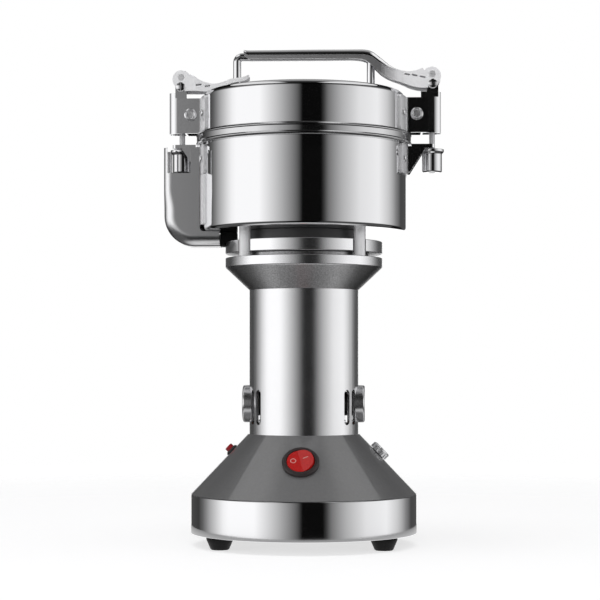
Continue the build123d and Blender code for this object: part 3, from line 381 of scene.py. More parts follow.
def lever_plate(name, polished_x, matt_x):
    """Pressed lever: satin sides, polished where it faces up, and matt beyond matt_x, at its ears."""
    satin_rough, polished_rough, matt_rough = 0.34, 0.07, 0.42
    side_slope, top_slope = 0.02, 0.14
    matt_metal = 0.1
    material, tree, shader = new_material(name)
    matt = ranged(tree, from_middle(tree), polished_x, matt_x)
    upward = parts_of(tree, add(tree, "ShaderNodeNewGeometry").outputs["Normal"])["Z"]
    pressed = ranged(tree, upward, side_slope, top_slope, satin_rough, polished_rough)
    tree.links.new(ranged(tree, matt, 0.0, 1.0, pressed, matt_rough), shader.inputs["Roughness"])
    tree.links.new(ranged(tree, matt, 0.0, 1.0, 1.0, matt_metal), shader.inputs["Metallic"])
    grain_over(tree, shader, grey(0.93), grey(0.97), scale=500.0, depth=5 * MICRON)
    return material


def bracket_plate(name, plate_x, cheek_x):
    """Bright bracket: satin on the plate against the wall, polished on the cheeks that stand out."""
    satin_rough, polished_rough = 0.3, 0.07
    satin_metal = 0.35
    material, tree, shader = new_material(name)
    polished = ranged(tree, from_middle(tree), plate_x, cheek_x)
    rough = ranged(tree, polished, 0.0, 1.0, satin_rough, polished_rough)
    tree.links.new(rough, shader.inputs["Roughness"])
    tree.links.new(ranged(tree, polished, 0.0, 1.0, satin_metal, 1.0), shader.inputs["Metallic"])
    grain_over(tree, shader, grey(0.86), grey(0.94), scale=700.0, depth=2 * MICRON)
    return material


bowl_polish = mirror_steel("bowl_polish", grey(0.82), clean=0.035, dull=0.07, ring_depth=2 * MICRON)
rim_polish = mirror_steel("rim_polish", grey(0.84), clean=0.04, dull=0.08, ring_depth=2 * MICRON)
ring_polish = mirror_steel("ring_polish", grey(0.66), clean=0.08, dull=0.14, ring_depth=2 * MICRON)
clamp_chrome = mirror_steel("clamp_chrome", grey(0.84), clean=0.06, dull=0.14, ring_depth=3 * MICRON)
bar_chrome = mirror_steel("bar_chrome", grey(0.86), clean=0.05, dull=0.09, ring_depth=MICRON)
turned_steel = mirror_steel("turned_steel", grey(0.6), clean=0.22, dull=0.32, ring_depth=10 * MICRON)
long_lever_plate = lever_plate("long_lever_plate", polished_x=0.058, matt_x=0.078)
short_lever_plate = lever_plate("short_lever_plate", polished_x=0.03, matt_x=0.05)
bracket_chrome = bracket_plate("bracket_chrome", plate_x=0.0775, cheek_x=0.079)
neck_cast = turned_and_cast("neck_cast", grey(0.3), grey(0.62), turned_r=0.0592, core_z=0.2296)
pin_bright = grained("pin_bright", grey(0.86), grey(0.94), clean=0.2, dull=0.28,
                     scale=700.0, depth=3 * MICRON, metallic=0.88)
pillar_zinc = grained("pillar_zinc", grey(0.94), grey(0.98), clean=0.35, dull=0.45,
                      scale=900.0, depth=6 * MICRON, metallic=0.15)
cover_press = grained("cover_press", grey(0.8), grey(0.86), clean=0.22, dull=0.27,
                      scale=1300.0, depth=6 * MICRON, metallic=1.0)
column_satin = grained("column_satin", grey(0.86), grey(0.91), clean=0.2, dull=0.23,
                       scale=1600.0, depth=4 * MICRON, metallic=1.0)
housing_satin = grained("housing_satin", grey(0.78), grey(0.86), clean=0.22, dull=0.28,
                        scale=1300.0, depth=8 * MICRON, metallic=1.0)
blade_steel = grained("blade_steel", grey(0.6), grey(0.72), clean=0.16, dull=0.26,
                      scale=700.0, depth=6 * MICRON, metallic=1.0)
bolt_steel = grained("bolt_steel", grey(0.84), grey(0.9), clean=0.25, dull=0.35,
                     scale=900.0, depth=4 * MICRON, metallic=0.6)
brush_carbon = grained("brush_carbon", grey(0.03), grey(0.06), clean=0.5, dull=0.6,
                       scale=1500.0, depth=30 * MICRON, metallic=0.1)
cone_enamel = grained("cone_enamel", grey(0.134), grey(0.148), clean=0.3, dull=0.4,
                      scale=420.0, depth=30 * MICRON, Coat_Weight=1.0, Coat_Roughness=0.1)
bezel_moulding = grained("bezel_moulding", (0.024, 0.018, 0.018, 1), (0.036, 0.028, 0.028, 1),
                         clean=0.34, dull=0.46, scale=1500.0, depth=20 * MICRON)
black_moulding = grained("black_moulding", grey(0.012), grey(0.022), clean=0.36, dull=0.5,
                         scale=1500.0, depth=20 * MICRON)
foot_rubber = grained("foot_rubber", grey(0.006), grey(0.012), clean=0.5, dull=0.65,
                      scale=900.0, depth=40 * MICRON, Specular_IOR_Level=0.1)
seal_silicone = grained("seal_silicone", grey(0.5), grey(0.58), clean=0.45, dull=0.6,
                        scale=600.0, depth=20 * MICRON)
rocker_red = grained("rocker_red", (0.42, 0.005, 0.004, 1), (0.5, 0.009, 0.007, 1),
                     clean=0.2, dull=0.28, scale=500.0, depth=8 * MICRON,
                     Coat_Weight=0.2, Coat_Roughness=0.08, Specular_IOR_Level=0.3)
button_red = grained("button_red", (0.3, 0.008, 0.014, 1), (0.36, 0.012, 0.018, 1),
                     clean=0.3, dull=0.4, scale=900.0, depth=10 * MICRON)
mark_white = grained("mark_white", (0.66, 0.34, 0.31, 1), (0.72, 0.4, 0.37, 1),
                     clean=0.4, dull=0.5, scale=900.0, depth=5 * MICRON)
core_laminations = rippled("core_laminations", grey(0.2), grey(0.32), metallic=0.8, roughness=0.5,
                           pitch=0.001, axis=(0, 0, 1), depth=100 * MICRON)
coil_wire = rippled("coil_wire", (0.3, 0.07, 0.02, 1), (0.55, 0.17, 0.06, 1), metallic=0.6,
                    roughness=0.35, pitch=0.0012, axis=(0, 0, 1), depth=300 * MICRON)
commutator_bars = rippled("commutator_bars", (0.35, 0.14, 0.06, 1), (0.62, 0.3, 0.16, 1), metallic=0.9,
                          roughness=0.3, pitch=0.004, axis=(1, 0.6, 0), depth=200 * MICRON)

FINISHES = {
    bowl_polish: "bowl lid_shell",
    ring_polish: "bowl_ring",
    rim_polish: "base_rim",
    bar_chrome: "bail_handle",
    pillar_zinc: "pillars housing_strips",
    bracket_chrome: "lid_bracket_right lid_bracket_left bowl_bracket_right bowl_bracket_left",
    clamp_chrome: "clamp_arm_right clamp_arm_left barrel_nut_right barrel_nut_left "
                  "lever_pins_right lever_pins_left",
    long_lever_plate: "lever_right",
    short_lever_plate: "lever_left",
    pin_bright: "lid_bracket_rivets bowl_bracket_rivets arm_rivets fuse_cap",
    bolt_steel: "draw_bolt_right draw_bolt_left",
    column_satin: "motor_housing",
    cover_press: "brush_covers",
    housing_satin: "interlock_housing",
    neck_cast: "neck_casting",
    cone_enamel: "base_cone base_plate",
    turned_steel: "foot_screws brush_springs bearing_bracket lower_bearing upper_bearing bowl_screws "
                  "shaft blade_spacers blade_nut",
    blade_steel: "lower_blade upper_blade",
    foot_rubber: "rubber_feet cord_gland cable_grommet shaft_seal",
    seal_silicone: "lid_gasket",
    bezel_moulding: "switch_bezel",
    black_moulding: "brush_holders interlock_switch reset_body fuse_body cooling_fan",
    rocker_red: "switch_rocker",
    button_red: "reset_button",
    brush_carbon: "carbon_brushes",
    core_laminations: "stator_core armature",
    coil_wire: "field_coils",
    commutator_bars: "commutator",
}
for finish, names in FINISHES.items():
    for node in names.split():
        for seat in nodes[node].material_slots:
            seat.material = finish


# Making of pieces


def from_bmesh(name, shape):
    """Mesh of a bmesh, all its faces turned outward."""
    mesh = bpy.data.meshes.new(name)
    bmesh.ops.recalc_face_normals(shape, faces=shape.faces)
    shape.to_mesh(mesh)
    shape.free()
    return mesh


def linked(name, mesh, material):
    """Smooth object in the scene."""
    mesh.shade_smooth()
    mesh.materials.append(material)
    made = bpy.data.objects.new(name, mesh)
    bpy.context.scene.collection.objects.link(made)
    return made


def soften(made, width):
    """Rounded edges, unless the width is nothing, and even shading on flat faces."""
    if width:
        ease = made.modifiers.new("eased_edges", "BEVEL")
        ease.limit_method = "ANGLE"
        ease.angle_limit = SHARP
        ease.width = width
        ease.segments = 2
    even = made.modifiers.new("even_shading", "WEIGHTED_NORMAL")
    even.keep_sharp = True
    even.weight = 80


def carrier(node):
    """Name of the body that a node moves with."""
    return nodes[node].parent.name.removeprefix("body:")


def stand_in(node, form, shape, edge_w=0.0):
    """Piece that takes a node's place, with its finish and its body."""
    name = f"{node}_{form}"
    made = linked(name, from_bmesh(name, shape), nodes[node].material_slots[0].material)
    soften(made, edge_w)
    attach(made, carrier(node))
    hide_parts(node)


def wall_radius(node):
    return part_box(node)[1].y


def height_of(node):
    low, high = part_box(node)
    return low.z, high.z


def solid_of(node):
    """Triangles of a node."""
    shape = bmesh.new()
    shape.from_mesh(nodes[node].data)
    return shape


def flats_joined(shape):
    """Joins doubled points, and the triangles of each flat face."""
    bmesh.ops.remove_doubles(shape, verts=shape.verts, dist=WELD)
    bmesh.ops.dissolve_limit(shape, angle_limit=FLAT, verts=shape.verts, edges=shape.edges)


def first_hit(tree, start, way):
    """Point where a ray first meets a solid."""
    return tree.ray_cast(Vector(start), Vector(way))[0]


def cut_at(shape, place, normal, drop_behind=False):
    """Cuts a shape along a plane. What lies behind it can be dropped, and the cut is then closed."""
    geometry = shape.verts[:] + shape.edges[:] + shape.faces[:]
    cut = bmesh.ops.bisect_plane(shape, geom=geometry, plane_co=place, plane_no=normal,
                                 clear_inner=drop_behind)
    if drop_behind:
        rim = [edge for edge in cut["geom_cut"] if isinstance(edge, bmesh.types.BMEdge)]
        bmesh.ops.holes_fill(shape, edges=rim)


def skin(shape, loops, around=False):
    """Faces between neighbouring loops of points, and from the last to the first if they go around."""
    pairs = list(zip(loops, loops[1:]))
    if around:
        pairs.append((loops[-1], loops[0]))
    for before, after in pairs:
        for k in range(len(before)):
            m = (k + 1) % len(before)
            shape.faces.new((before[k], after[k], after[m], before[m]))


def joined(shapes):
    """One bmesh out of several."""
    whole = bmesh.new()
    for shape in shapes:
        part = from_bmesh("part", shape)
        whole.from_mesh(part)
        bpy.data.meshes.remove(part)
    return whole


def rounded(outline):
    """Closed outline of (radius, height, corner) points with its corners turned into arcs."""
    points = []
    count = len(outline)
    for i, (r, z, corner) in enumerate(outline):
        here = Vector((r, z))
        if corner == 0:
            points.append(here)
            continue
        before = Vector(outline[i - 1][:2]) - here
        after = Vector(outline[(i + 1) % count][:2]) - here
        half = before.angle(after) / 2
        cut = corner / tan(half)
        inner = here + (before.normalized() + after.normalized()).normalized() * corner / sin(half)
        start = here + before.normalized() * cut - inner
        end = here + after.normalized() * cut - inner
        sweep = start.angle_signed(end)
        steps = max(2, round(abs(sweep) / ARC_STEP))
        for k in range(steps + 1):
            turn = Matrix.Rotation(-sweep * k / steps, 2)
            points.append(inner + turn @ start)
    return points


def both_ends(end):
    """Rounded outline of a pin alike at both ends, from (radius, height, corner) points of one end."""
    return rounded([(r, -z, corner) for r, z, corner in end] + end[::-1])


def spun_about(outline, place, segments=64):
    """Outline of (radius, height) points spun about a place's Z axis, where points on the axis merge."""
    shape = bmesh.new()
    loops = []
    for i in range(segments):
        a = 2 * pi * i / segments
        spoke = [place @ Vector((point.x * cos(a), point.x * sin(a), point.y)) for point in outline]
        loops.append([shape.verts.new(point) for point in spoke])
    skin(shape, loops, around=True)
    bmesh.ops.remove_doubles(shape, verts=shape.verts, dist=MICRON)
    return shape


def across(x, z):
    """Place on the upright middle plane whose Z axis runs along -Y, toward the camera."""
    place = Matrix.Rotation(pi / 2, 4, "X")
    place.translation = Vector((x, 0, z))
    return place


def turned(node, outline):
    """Large piece turned about the upright axis from an outline, in place of a node."""
    segments = 192
    stand_in(node, "turned", spun_about(rounded(outline), Matrix.Identity(4), segments))


def eased(node, width, reshape=None):
    """Copy of a node with its sharp edges rounded over, reshaped before that if a reshape is given."""
    shape = solid_of(node)
    flats_joined(shape)
    if reshape:
        reshape(shape, *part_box(node))
    stand_in(node, "eased", shape, width)


# Base, bowl and lid


def turn_base():
    """Drum with a rounded brim, and the ledge that the cone stands on."""
    sheet, ledge_w = 0.0016, 0.0065
    brim_r, bend_r, edge_r = 0.0012, 0.0004, 0.0002
    r = wall_radius("base_rim")
    low, top = height_of("base_rim")
    ledge = r - ledge_w
    turned("base_rim", [
        (r, low, edge_r), (r, top, brim_r), (ledge, top, bend_r), (ledge, top - sheet, bend_r),
        (r - sheet, top - sheet, bend_r), (r - sheet, low, edge_r),
    ])


def turn_bowl():
    """Bowl with a rounded foot and a bore for the shaft's seal."""
    wall, floor, bore, corner = 0.0015, 0.002, 0.011, 0.003
    lip_r, bore_edge_r = 0.0003, 0.0002
    r = wall_radius("bowl")
    low, top = height_of("bowl")
    turned("bowl", [
        (r, low, corner), (r, top, lip_r), (r - wall, top, lip_r), (r - wall, low + floor, corner - wall),
        (bore, low + floor, bore_edge_r), (bore, low, bore_edge_r),
    ])


def turn_ring():
    """Ring around the bowl's top, with a crest at its foot and top and a shallow waist between them."""
    lap, waist_depth, nose = 0.0004, 0.00045, 0.0006
    crest_z, waist_z = 0.0016, 0.0026
    inner_r, crest_r, waist_r, lip_r = 0.0003, 0.0008, 0.0006, 0.0002
    bowl = wall_radius("bowl")
    bowl_top = height_of("bowl")[1]
    r = wall_radius("bowl_ring")
    low, top = height_of("bowl_ring")
    turned("bowl_ring", [
        (bowl, low, inner_r), (r - nose, low, crest_r), (r, low + crest_z, crest_r),
        (r - waist_depth, low + waist_z, waist_r), (r - waist_depth, top - waist_z, waist_r),
        (r, top - crest_z, crest_r), (r - nose, top, crest_r), (bowl - lap, top, waist_r),
        (bowl - lap, bowl_top, lip_r), (bowl, bowl_top, lip_r),
    ])


def turn_lid():
    """Deep lid with a rounded shoulder; its spinning leaves a pinhole at the middle of the top."""
    wall, pinhole = 0.0015, 0.0004
    shoulder_r, inner_r, edge_r = 0.0045, 0.003, 0.0003
    r = wall_radius("lid_shell")
    low, top = height_of("lid_shell")
    turned("lid_shell", [
        (pinhole, top, 0), (r, top, shoulder_r), (r, low, edge_r), (r - wall, low, edge_r),
        (r - wall, top - wall, inner_r), (pinhole, top - wall, 0),
    ])


# Clamps


def cup_rivets(node):
    """Through rivets of the clamp arms, with a raised rim about a sunk middle at each end."""
    head_t, crown, sink = 0.0022, 0.0006, 0.0012
    shank_r, head_r, rim_r, cup_r = 0.0025, 0.0047, 0.0035, 0.0027
    seat_round, rim_round, cup_round = 0.0002, 0.0004, 0.0003
    low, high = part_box(node)
    far = high.y
    outline = both_ends([
        (shank_r, far - head_t, 0), (head_r, far - head_t, seat_round), (head_r, far - crown, crown),
        (rim_r, far, rim_round), (cup_r, far - sink, cup_round), (0, far - sink, 0),
    ])
    reach = high.x - head_r
    z = (low.z + high.z) / 2
    stand_in(node, "cupped", joined([spun_about(outline, across(x, z)) for x in (reach, -reach)]))


def slotted_pins(node):
    """The two pins of a lever, each with a domed head that has an upright screwdriver slot."""
    shank_r, dome, slot_w, slot_d, edge_w = 0.002, 0.0007, 0.0009, 0.0008, 0.0001
    steps = 8
    low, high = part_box(node)
    x, z = (low.x + high.x) / 2, (low.z + high.z) / 2
    head_r = (high.x - low.x) / 2
    source = solid_of(node)
    tree = BVHTree.FromBMesh(source)
    source.free()
    inner = first_hit(tree, (x, 0, z), (0, 1, 0)).y
    seat = first_hit(tree, (x + (shank_r + head_r) / 2, 0, z), (0, 1, 0)).y
    floor = high.y - slot_d
    body = [(0, inner), (shank_r, inner), (shank_r, seat), (head_r, seat), (head_r, floor - dome),
            (head_r, floor), (0, floor)]
    cap = [(0, floor - dome), (head_r, floor - dome)]
    cap += [(head_r * (1 - k / steps), high.y - dome * (1 - k / steps) ** 2) for k in range(steps + 1)]
    shapes = []
    for place in (across(x, z), across(x, z) @ Matrix.Rotation(pi, 4, "X")):
        shapes.append(spun_about([Vector(point) for point in body], place))
        for half in (1, -1):
            lobe = spun_about([Vector(point) for point in cap], place)
            cut_at(lobe, (x + half * slot_w / 2, 0, 0), (half, 0, 0), drop_behind=True)
            shapes.append(lobe)
    stand_in(node, "slotted", joined(shapes), edge_w)


def threaded_rod(radius, crest, pitch, low, high):
    """Upright rod with a true screw thread between two heights, which runs out at both ends."""
    segments, steps = 20, 8
    shape = bmesh.new()
    rows = round((high - low) / pitch * steps)
    loops = []
    for k in range(rows + 1):
        z = low + (high - low) * k / rows
        ease = min(1.0, k / steps, (rows - k) / steps)
        loop = []
        for i in range(segments):
            a = 2 * pi * i / segments
            turn = (z - low) / pitch - i / segments
            r = radius - crest * ease * (0.5 - 0.5 * cos(2 * pi * turn))
            loop.append(shape.verts.new((r * cos(a), r * sin(a), z)))
        loops.append(loop)
    skin(shape, loops)
    shape.faces.new(list(reversed(loops[0])))
    shape.faces.new(loops[-1])
    return shape


def threaded_bolt(node, arm):
    """Draw bolt with its cross barrel, its axle and a threaded stem."""
    barrel_r, axle_r, stem_r = 0.0038, 0.0025, 0.00225
    thread_depth, thread_pitch = 0.0003, 0.0008
    arm_t, play, sunk = 0.0015, 0.0005, 0.001
    axle_round, barrel_round = 0.0002, 0.0003
    low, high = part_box(node)
    x = (low.x + high.x) / 2
    z = high.z - barrel_r
    barrel_end = wall_radius(arm) - arm_t - play
    cross = both_ends([
        (0, high.y, 0), (axle_r, high.y, axle_round), (axle_r, barrel_end, 0),
        (barrel_r, barrel_end, barrel_round),
    ])
    stem = threaded_rod(stem_r, thread_depth, thread_pitch, low.z, z - barrel_r + sunk)
    bmesh.ops.translate(stem, verts=stem.verts, vec=(x, 0, 0))
    stand_in(node, "threaded", joined([spun_about(cross, across(x, z)), stem]))


def grip_corner(side, top, r):
    """Quarter round from a side face up to a top face, as (across, height) points."""
    steps = 8
    arc = [pi - pi / 2 * k / steps for k in range(steps + 1)]
    return [(side + r * (1 + cos(a)), top - r * (1 - sin(a))) for a in arc]


def grip_section(tree, low, high, x, wall, edge_r):
    """Section of a pressed lever at x: its outer and inner outline, read off the node by rays."""
    skin_t, least_r, full_share = 0.00015, 0.0002, 0.6
    top = first_hit(tree, (x, 0, high.z + RAY_RUN), (0, 0, -1)).z
    side = first_hit(tree, (x, low.y - RAY_RUN, top - skin_t), (0, 1, 0)).y
    under = first_hit(tree, (x, side + wall / 2, low.z - RAY_RUN), (0, 0, 1)).z
    r = min(edge_r, (top - under) * full_share)
    outer = [(side, under)] + grip_corner(side, top, r)
    inner = [(side + wall, under)]
    inner += [(y, max(under, z)) for y, z in grip_corner(side + wall, top - wall, max(r - wall, least_r))]
    loop = outer + [(-y, z) for y, z in reversed(outer)] + [(-y, z) for y, z in inner] + inner[::-1]
    return [(x, y, z) for y, z in loop]


def pressed_grip(node):
    """Long lever: a grip and bend with well rounded upper edges, and the node's own fork.

    The rounding runs out to a small share of itself where the grip meets the fork.
    """
    cut_x, edge_r, wall, edge_w = 0.075, 0.0046, 0.0015, 0.0003
    stations, tip, lap = 72, 0.0012, 0.0002
    run_out, least_share = 6, 0.12
    source = solid_of(node)
    tree = BVHTree.FromBMesh(source)
    low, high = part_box(node)
    grip = bmesh.new()
    rows = []
    for i in range(stations + 1):
        share = i / stations
        x = low.x + tip + (cut_x - low.x - tip) * share
        full_r = edge_r * min(1.0, (1 - share) * run_out + least_share)
        rows.append([grip.verts.new(point) for point in grip_section(tree, low, high, x, wall, full_r)])
    skin(grip, rows)
    for row in (rows[0], rows[-1]):
        for k in range(len(row) // 2 - 1):
            grip.faces.new((row[k], row[k + 1], row[-k - 2], row[-k - 1]))
    flats_joined(source)
    cut_at(source, (cut_x - lap, 0, 0), (1, 0, 0), drop_behind=True)
    stand_in(node, "pressed", joined([grip, source]), edge_w)


# Cover of the lid switch


def full_edges(shape, low, high):
    """Rolls the cover's outer edges over to the full radius of its pressing, less by the nut's notch."""
    full_r, notch_r, ease = 0.0085, 0.0058, 0.018
    sheet, bend = 0.0015, 0.023
    step, slack = 0.0008, 0.00005
    half = high.y
    above = (low.x + sheet / 2, 0, high.z + RAY_RUN)
    notch = first_hit(BVHTree.FromBMesh(shape), above, (0, 0, -1)).z
    for k in range(1, int(bend / step) + 1):
        cut_at(shape, (low.x + k * step, 0, 0), (1, 0, 0))
    for k in range(1, int((high.z - low.z) / step)):
        cut_at(shape, (0, 0, low.z + k * step), (0, 0, 1))
    for point in shape.verts:
        across_bend = low.x + bend - point.co.x
        down_bend = low.z + bend - point.co.z
        if across_bend > 0 and down_bend > 0:
            inset = bend - hypot(across_bend, down_bend)
        else:
            inset = bend - max(across_bend, down_bend, 0)
        rise = min(max((point.co.z - notch + ease) / ease, 0), 1)
        edge_r = full_r - (full_r - notch_r) * rise * rise * (3 - 2 * rise)
        if inset >= edge_r:
            continue
        inner = inset > sheet - slack and abs(point.co.y) < half - sheet + slack
        r = edge_r - sheet if inner else edge_r
        limit = half - edge_r + sqrt(max(r * r - (edge_r - inset) ** 2, 0))
        point.co.y = max(-limit, min(limit, point.co.y))


# Pieces in their order of making, and how wide the edges of the plainer ones are rounded
COVER_EDGE_W = 0.0004
EASED_EDGES = {
    "base_cone": 0.0003, "motor_housing": 0.0004, "neck_casting": 0.0006, "brush_covers": 0.0003,
    "lid_bracket_right": 0.0003, "lid_bracket_left": 0.0003, "bowl_bracket_right": 0.0003,
    "bowl_bracket_left": 0.0003, "clamp_arm_right": 0.0003, "clamp_arm_left": 0.0003,
    "lever_left": 0.0004, "barrel_nut_right": 0.0004, "barrel_nut_left": 0.0004, "fuse_cap": 0.0002,
    "switch_bezel": 0.0003, "reset_body": 0.0002, "rubber_feet": 0.0004, "upper_blade": 0.0003,
    "lower_blade": 0.0003, "blade_nut": 0.0003, "cable_grommet": 0.0004,
}

turn_base()
turn_bowl()
turn_ring()
turn_lid()
cup_rivets("arm_rivets")
pressed_grip("lever_right")
eased("interlock_housing", COVER_EDGE_W, full_edges)
slotted_pins("lever_pins_right")
slotted_pins("lever_pins_left")
threaded_bolt("draw_bolt_right", "clamp_arm_right")
threaded_bolt("draw_bolt_left", "clamp_arm_left")
for node, width in EASED_EDGES.items():
    eased(node, width)


# Marks on the rocker


def seat_on_cone(angle, z, turn):
    """Matrix of a seat on the cone: X across, Y up the slope, Z outward.

    The cone ends a lip's width outside the column, and both reach their full radius on X.
    """
    lip = 0.001
    foot_r, top_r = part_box("base_cone")[1].x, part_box("motor_housing")[1].x + lip
    foot_z, top_z = height_of("base_cone")
    run, rise = foot_r - top_r, top_z - foot_z
    length = hypot(run, rise)
    a = radians(angle)
    outward = Vector((cos(a) * rise / length, sin(a) * rise / length, run / length))
    across_slope = Vector((-sin(a), cos(a), 0))
    up_slope = outward.cross(across_slope)
    r = foot_r - run * (z - foot_z) / rise
    t = radians(turn)
    x = across_slope * cos(t) + up_slope * sin(t)
    y = outward.cross(x)
    place = Matrix((x, y, outward)).transposed().to_4x4()
    place.translation = Vector((r * cos(a), r * sin(a), z))
    return place


def ring_mark(radius, width, height):
    """Flat printed ring, a hair thick, with a rounded section."""
    steps, section = 48, 8
    shape = bmesh.new()
    loops = []
    for i in range(steps):
        a = 2 * pi * i / steps
        loop = []
        for k in range(section):
            b = 2 * pi * k / section
            r = radius + width / 2 * cos(b)
            loop.append(shape.verts.new((r * cos(a), r * sin(a), height * sin(b))))
        loops.append(loop)
    skin(shape, loops, around=True)
    return shape


def bar_mark(length, width, height):
    """Flat printed dash with rounded ends."""
    steps = 8
    shape = bmesh.new()
    outline = []
    for side in (1, -1):
        for i in range(steps + 1):
            a = -pi / 2 + pi * i / steps
            x = side * ((length - width) / 2 + width / 2 * cos(a))
            outline.append((x, side * width / 2 * sin(a)))
    top = [shape.verts.new((x, y, height)) for x, y in outline]
    low = [shape.verts.new((x, y, -height)) for x, y in outline]
    shape.faces.new(top)
    shape.faces.new(list(reversed(low)))
    for i in range(len(top)):
        j = (i + 1) % len(top)
        shape.faces.new((low[i], low[j], top[j], top[i]))
    return shape


def mark_rocker():
    """Off ring and on dash; at rest the off half lies level and the on half stands at twice the tilt."""
    angle, z, turn = -90, 0.065, 13
    tilt, pivot_rise, face_rise = 8, 0.001, 0.0015
    stroke, ink_t, off_r, on_length = 0.0006, 0.00006, 0.0019, 0.004
    off_at, on_at = (-0.0052, 0.0014), (0.0046, 0.0016)
    pivot = seat_on_cone(angle, z, turn) @ Matrix.Translation((0, 0, pivot_rise))
    lift = face_rise * cos(radians(tilt))
    for name, shape, face_turn, at in (
        ("rocker_mark_off", ring_mark(off_r, stroke, ink_t), 0, off_at),
        ("rocker_mark_on", bar_mark(on_length, stroke, ink_t), -2 * tilt, on_at),
    ):
        face = Matrix.Rotation(radians(face_turn), 4, "Y")
        shape.transform(pivot @ face @ Matrix.Translation((*at, lift)))
        mark = linked(name, from_bmesh(name, shape), mark_white)
        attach(mark, "rocker")


mark_rocker()


# Camera


def make_camera():
    data = bpy.data.cameras.new("view")
    data.lens = LENS
    data.sensor_width = SENSOR_W
    data.shift_x, data.shift_y = CAMERA_SHIFT
    data.clip_end = VIEW_DEPTH
    camera = bpy.data.objects.new("view", data)
    camera.location = (
        CAMERA_DISTANCE * sin(CAMERA_TURN), -CAMERA_DISTANCE * cos(CAMERA_TURN), CAMERA_HEIGHT
    )
    camera.rotation_euler = (pi / 2, 0, CAMERA_TURN)
    bpy.context.scene.collection.objects.link(camera)
    bpy.context.scene.camera = camera


# Studio


def seen_as_backdrop(tree, path):
    """One where a ray comes from the camera or through a clear surface."""
    return calc(tree, "MAXIMUM", path.outputs["Is Camera Ray"], path.outputs["Is Transmission Ray"])


def make_world():
    """White backdrop, a room for reflections, and a plain level of light for the rest."""
    world = bpy.data.worlds.new("studio")
    bpy.context.scene.world = world
    world.use_nodes = True
    tree = world.node_tree
    tree.nodes.clear()
    path = add(tree, "ShaderNodeLightPath")
    parts = parts_of(tree, add(tree, "ShaderNodeTexCoord").outputs["Generated"])
    roof = level_ramp(tree, ranged(tree, parts["Z"], -1.0, 1.0), CEILING_RISE)
    behind = ranged(tree, parts["Y"], *FRONT_TO_BACK, CEILING_FRONT, 1.0, interpolation_type="SMOOTHSTEP")
    strips = ranged(tree, calc(tree, "ABSOLUTE", parts["X"]), *MIDDLE_TO_SIDE, 0.0, CEILING_SIDES,
                    interpolation_type="SMOOTHSTEP")
    room = calc(tree, "MAXIMUM", behind, strips)
    shade = add(tree, "ShaderNodeBackground", {"Color": (1, 1, 1, 1), "Strength": ROOM_LEVEL})
    ceiling = add(tree, "ShaderNodeBackground", {"Color": roof, "Strength": room})
    white = add(tree, "ShaderNodeBackground", {"Color": (1, 1, 1, 1), "Strength": 1.0})
    mirrored = path.outputs["Is Glossy Ray"]
    inner = add(tree, "ShaderNodeMixShader", {0: mirrored, 1: shade.outputs[0], 2: ceiling.outputs[0]})
    backdrop = seen_as_backdrop(tree, path)
    mix = add(tree, "ShaderNodeMixShader", {0: backdrop, 1: inner.outputs[0], 2: white.outputs[0]})
    add(tree, "ShaderNodeOutputWorld", {"Surface": mix.outputs[0]})


def circle(radius, z, count):
    """Points on a level circle about the upright axis."""
    angles = [2 * pi * i / count for i in range(count)]
    return [(radius * cos(a), radius * sin(a), z) for a in angles]


def studio_mesh(name, points, faces, material):
    mesh = bpy.data.meshes.new(name)
    mesh.from_pydata(points, [], faces)
    shape = linked(name, mesh, material)
    return shape


def studio_disc(name, radius, z, material):
    steps = 64
    points = [(0, 0, z)] + circle(radius, z, steps)
    faces = [(0, 1 + i, 1 + (i + 1) % steps) for i in range(steps)]
    return studio_mesh(name, points, faces, material)


def glow_material(name, colour_of):
    """Paper that only glows, with the colour that colour_of makes in its tree."""
    material = bpy.data.materials.new(name)
    material.use_nodes = True
    tree = material.node_tree
    tree.nodes.clear()
    glow = add(tree, "ShaderNodeEmission", {"Color": colour_of(tree), "Strength": 1.0})
    add(tree, "ShaderNodeOutputMaterial", {"Surface": glow.outputs[0]})
    return material


def make_floor():
    """White paper that keeps the shadow under the mill and fades into the backdrop."""
    material, tree, shader = new_material(
        "floor_paper", Roughness=0.9, Specular_IOR_Level=0.0, Emission_Color=(1, 1, 1, 1),
    )
    fibre = place_group(tree, GRAIN, {"Scale": 60.0, "Dark": grey(0.46), "Light": grey(0.48)})
    tree.links.new(fibre.outputs["Color"], shader.inputs["Base Color"])
    backdrop = seen_as_backdrop(tree, add(tree, "ShaderNodeLightPath"))
    tree.links.new(calc(tree, "MULTIPLY", backdrop, FLOOR_GLOW), shader.inputs["Emission Strength"])
    reach = measured(tree, "LENGTH", object_place(tree))
    fade = ranged(tree, reach, *FLOOR_FADE, 1.0, 0.0, interpolation_type="SMOOTHSTEP")
    tree.links.new(fade, shader.inputs["Alpha"])
    floor = studio_disc("floor", FLOOR_R, 0, material)
    floor.visible_glossy = False


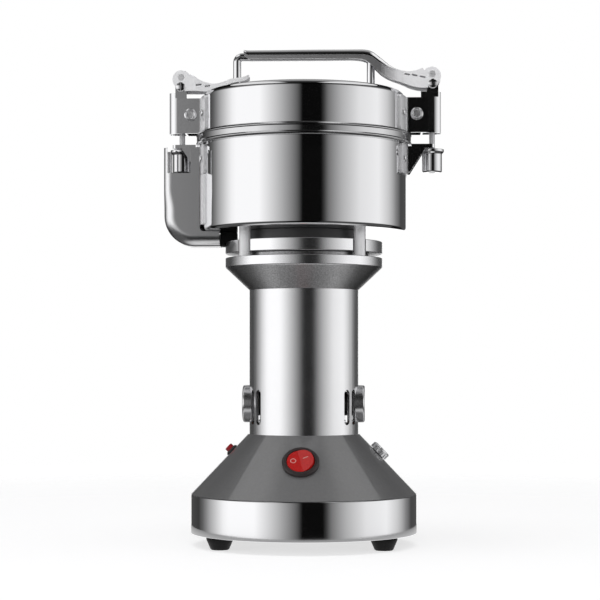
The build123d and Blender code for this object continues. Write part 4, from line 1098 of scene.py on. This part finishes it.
def tent_colour(tree):
    """Level by angle times level by height."""
    facing = add(tree, "ShaderNodeVectorRotate", {"Vector": object_place(tree), "Angle": TENT_TURN},
                 rotation_type="Z_AXIS")
    parts = parts_of(tree, facing.outputs[0])
    angle = calc(tree, "ARCTAN2", parts["Y"], parts["X"])
    around = level_ramp(tree, ranged(tree, angle, -pi, pi),
                        [((degree + 180) / 360, level) for degree, level in TENT_LEVELS])
    low, high = TENT_EDGES[0][0], TENT_EDGES[-1][0]
    upward = level_ramp(tree, ranged(tree, parts["Z"], low, high),
                        [((z - low) / (high - low), level) for z, level in TENT_EDGES])
    return mixed(tree, 1.0, around, upward, blend_type="MULTIPLY")


def make_tent():
    """Upright paper tent about the mill that only reflections and light see."""
    steps = 128
    points = []
    for z, _ in TENT_EDGES:
        points += circle(TENT_R, z, steps)
    faces = []
    for k in range(len(TENT_EDGES) - 1):
        for i in range(steps):
            j = (i + 1) % steps
            faces.append((k * steps + i, k * steps + j, (k + 1) * steps + j, (k + 1) * steps + i))
    tent = studio_mesh("tent", points, faces, glow_material("tent_paper", tent_colour))
    tent.visible_camera = False
    tent.visible_shadow = False


def table_colour(tree):
    """Level by distance from the mill's middle."""
    share = ranged(tree, measured(tree, "LENGTH", object_place(tree)), 0.0, TABLE_R)
    return level_ramp(tree, share, [(radius / TABLE_R, level) for radius, level in TABLE_LEVELS])


def make_table_glow():
    """Bright patch of table that only undersides and the drum mirror, dimmer outward."""
    patch = studio_disc("table_patch", TABLE_R, TABLE_Z, glow_material("table_glow", table_colour))
    patch.visible_camera = False
    patch.visible_diffuse = False
    patch.visible_shadow = False


def make_lamp(name, place, width, power):
    """Round lamp that lights the mill and isn't mirrored in it."""
    data = bpy.data.lights.new(name, "AREA")
    data.shape = "DISK"
    data.size = width
    data.energy = power
    lamp = bpy.data.objects.new(name, data)
    lamp.location = place
    aim = Vector(LAMP_AIM) - Vector(place)
    lamp.rotation_euler = aim.to_track_quat("-Z", "Y").to_euler()
    lamp.visible_glossy = False
    bpy.context.scene.collection.objects.link(lamp)


make_camera()
make_world()
make_floor()
make_tent()
make_table_glow()
for name, (place, width, power) in LAMPS.items():
    make_lamp(name, place, width, power)
bpy.context.scene.view_settings.view_transform = "Standard"
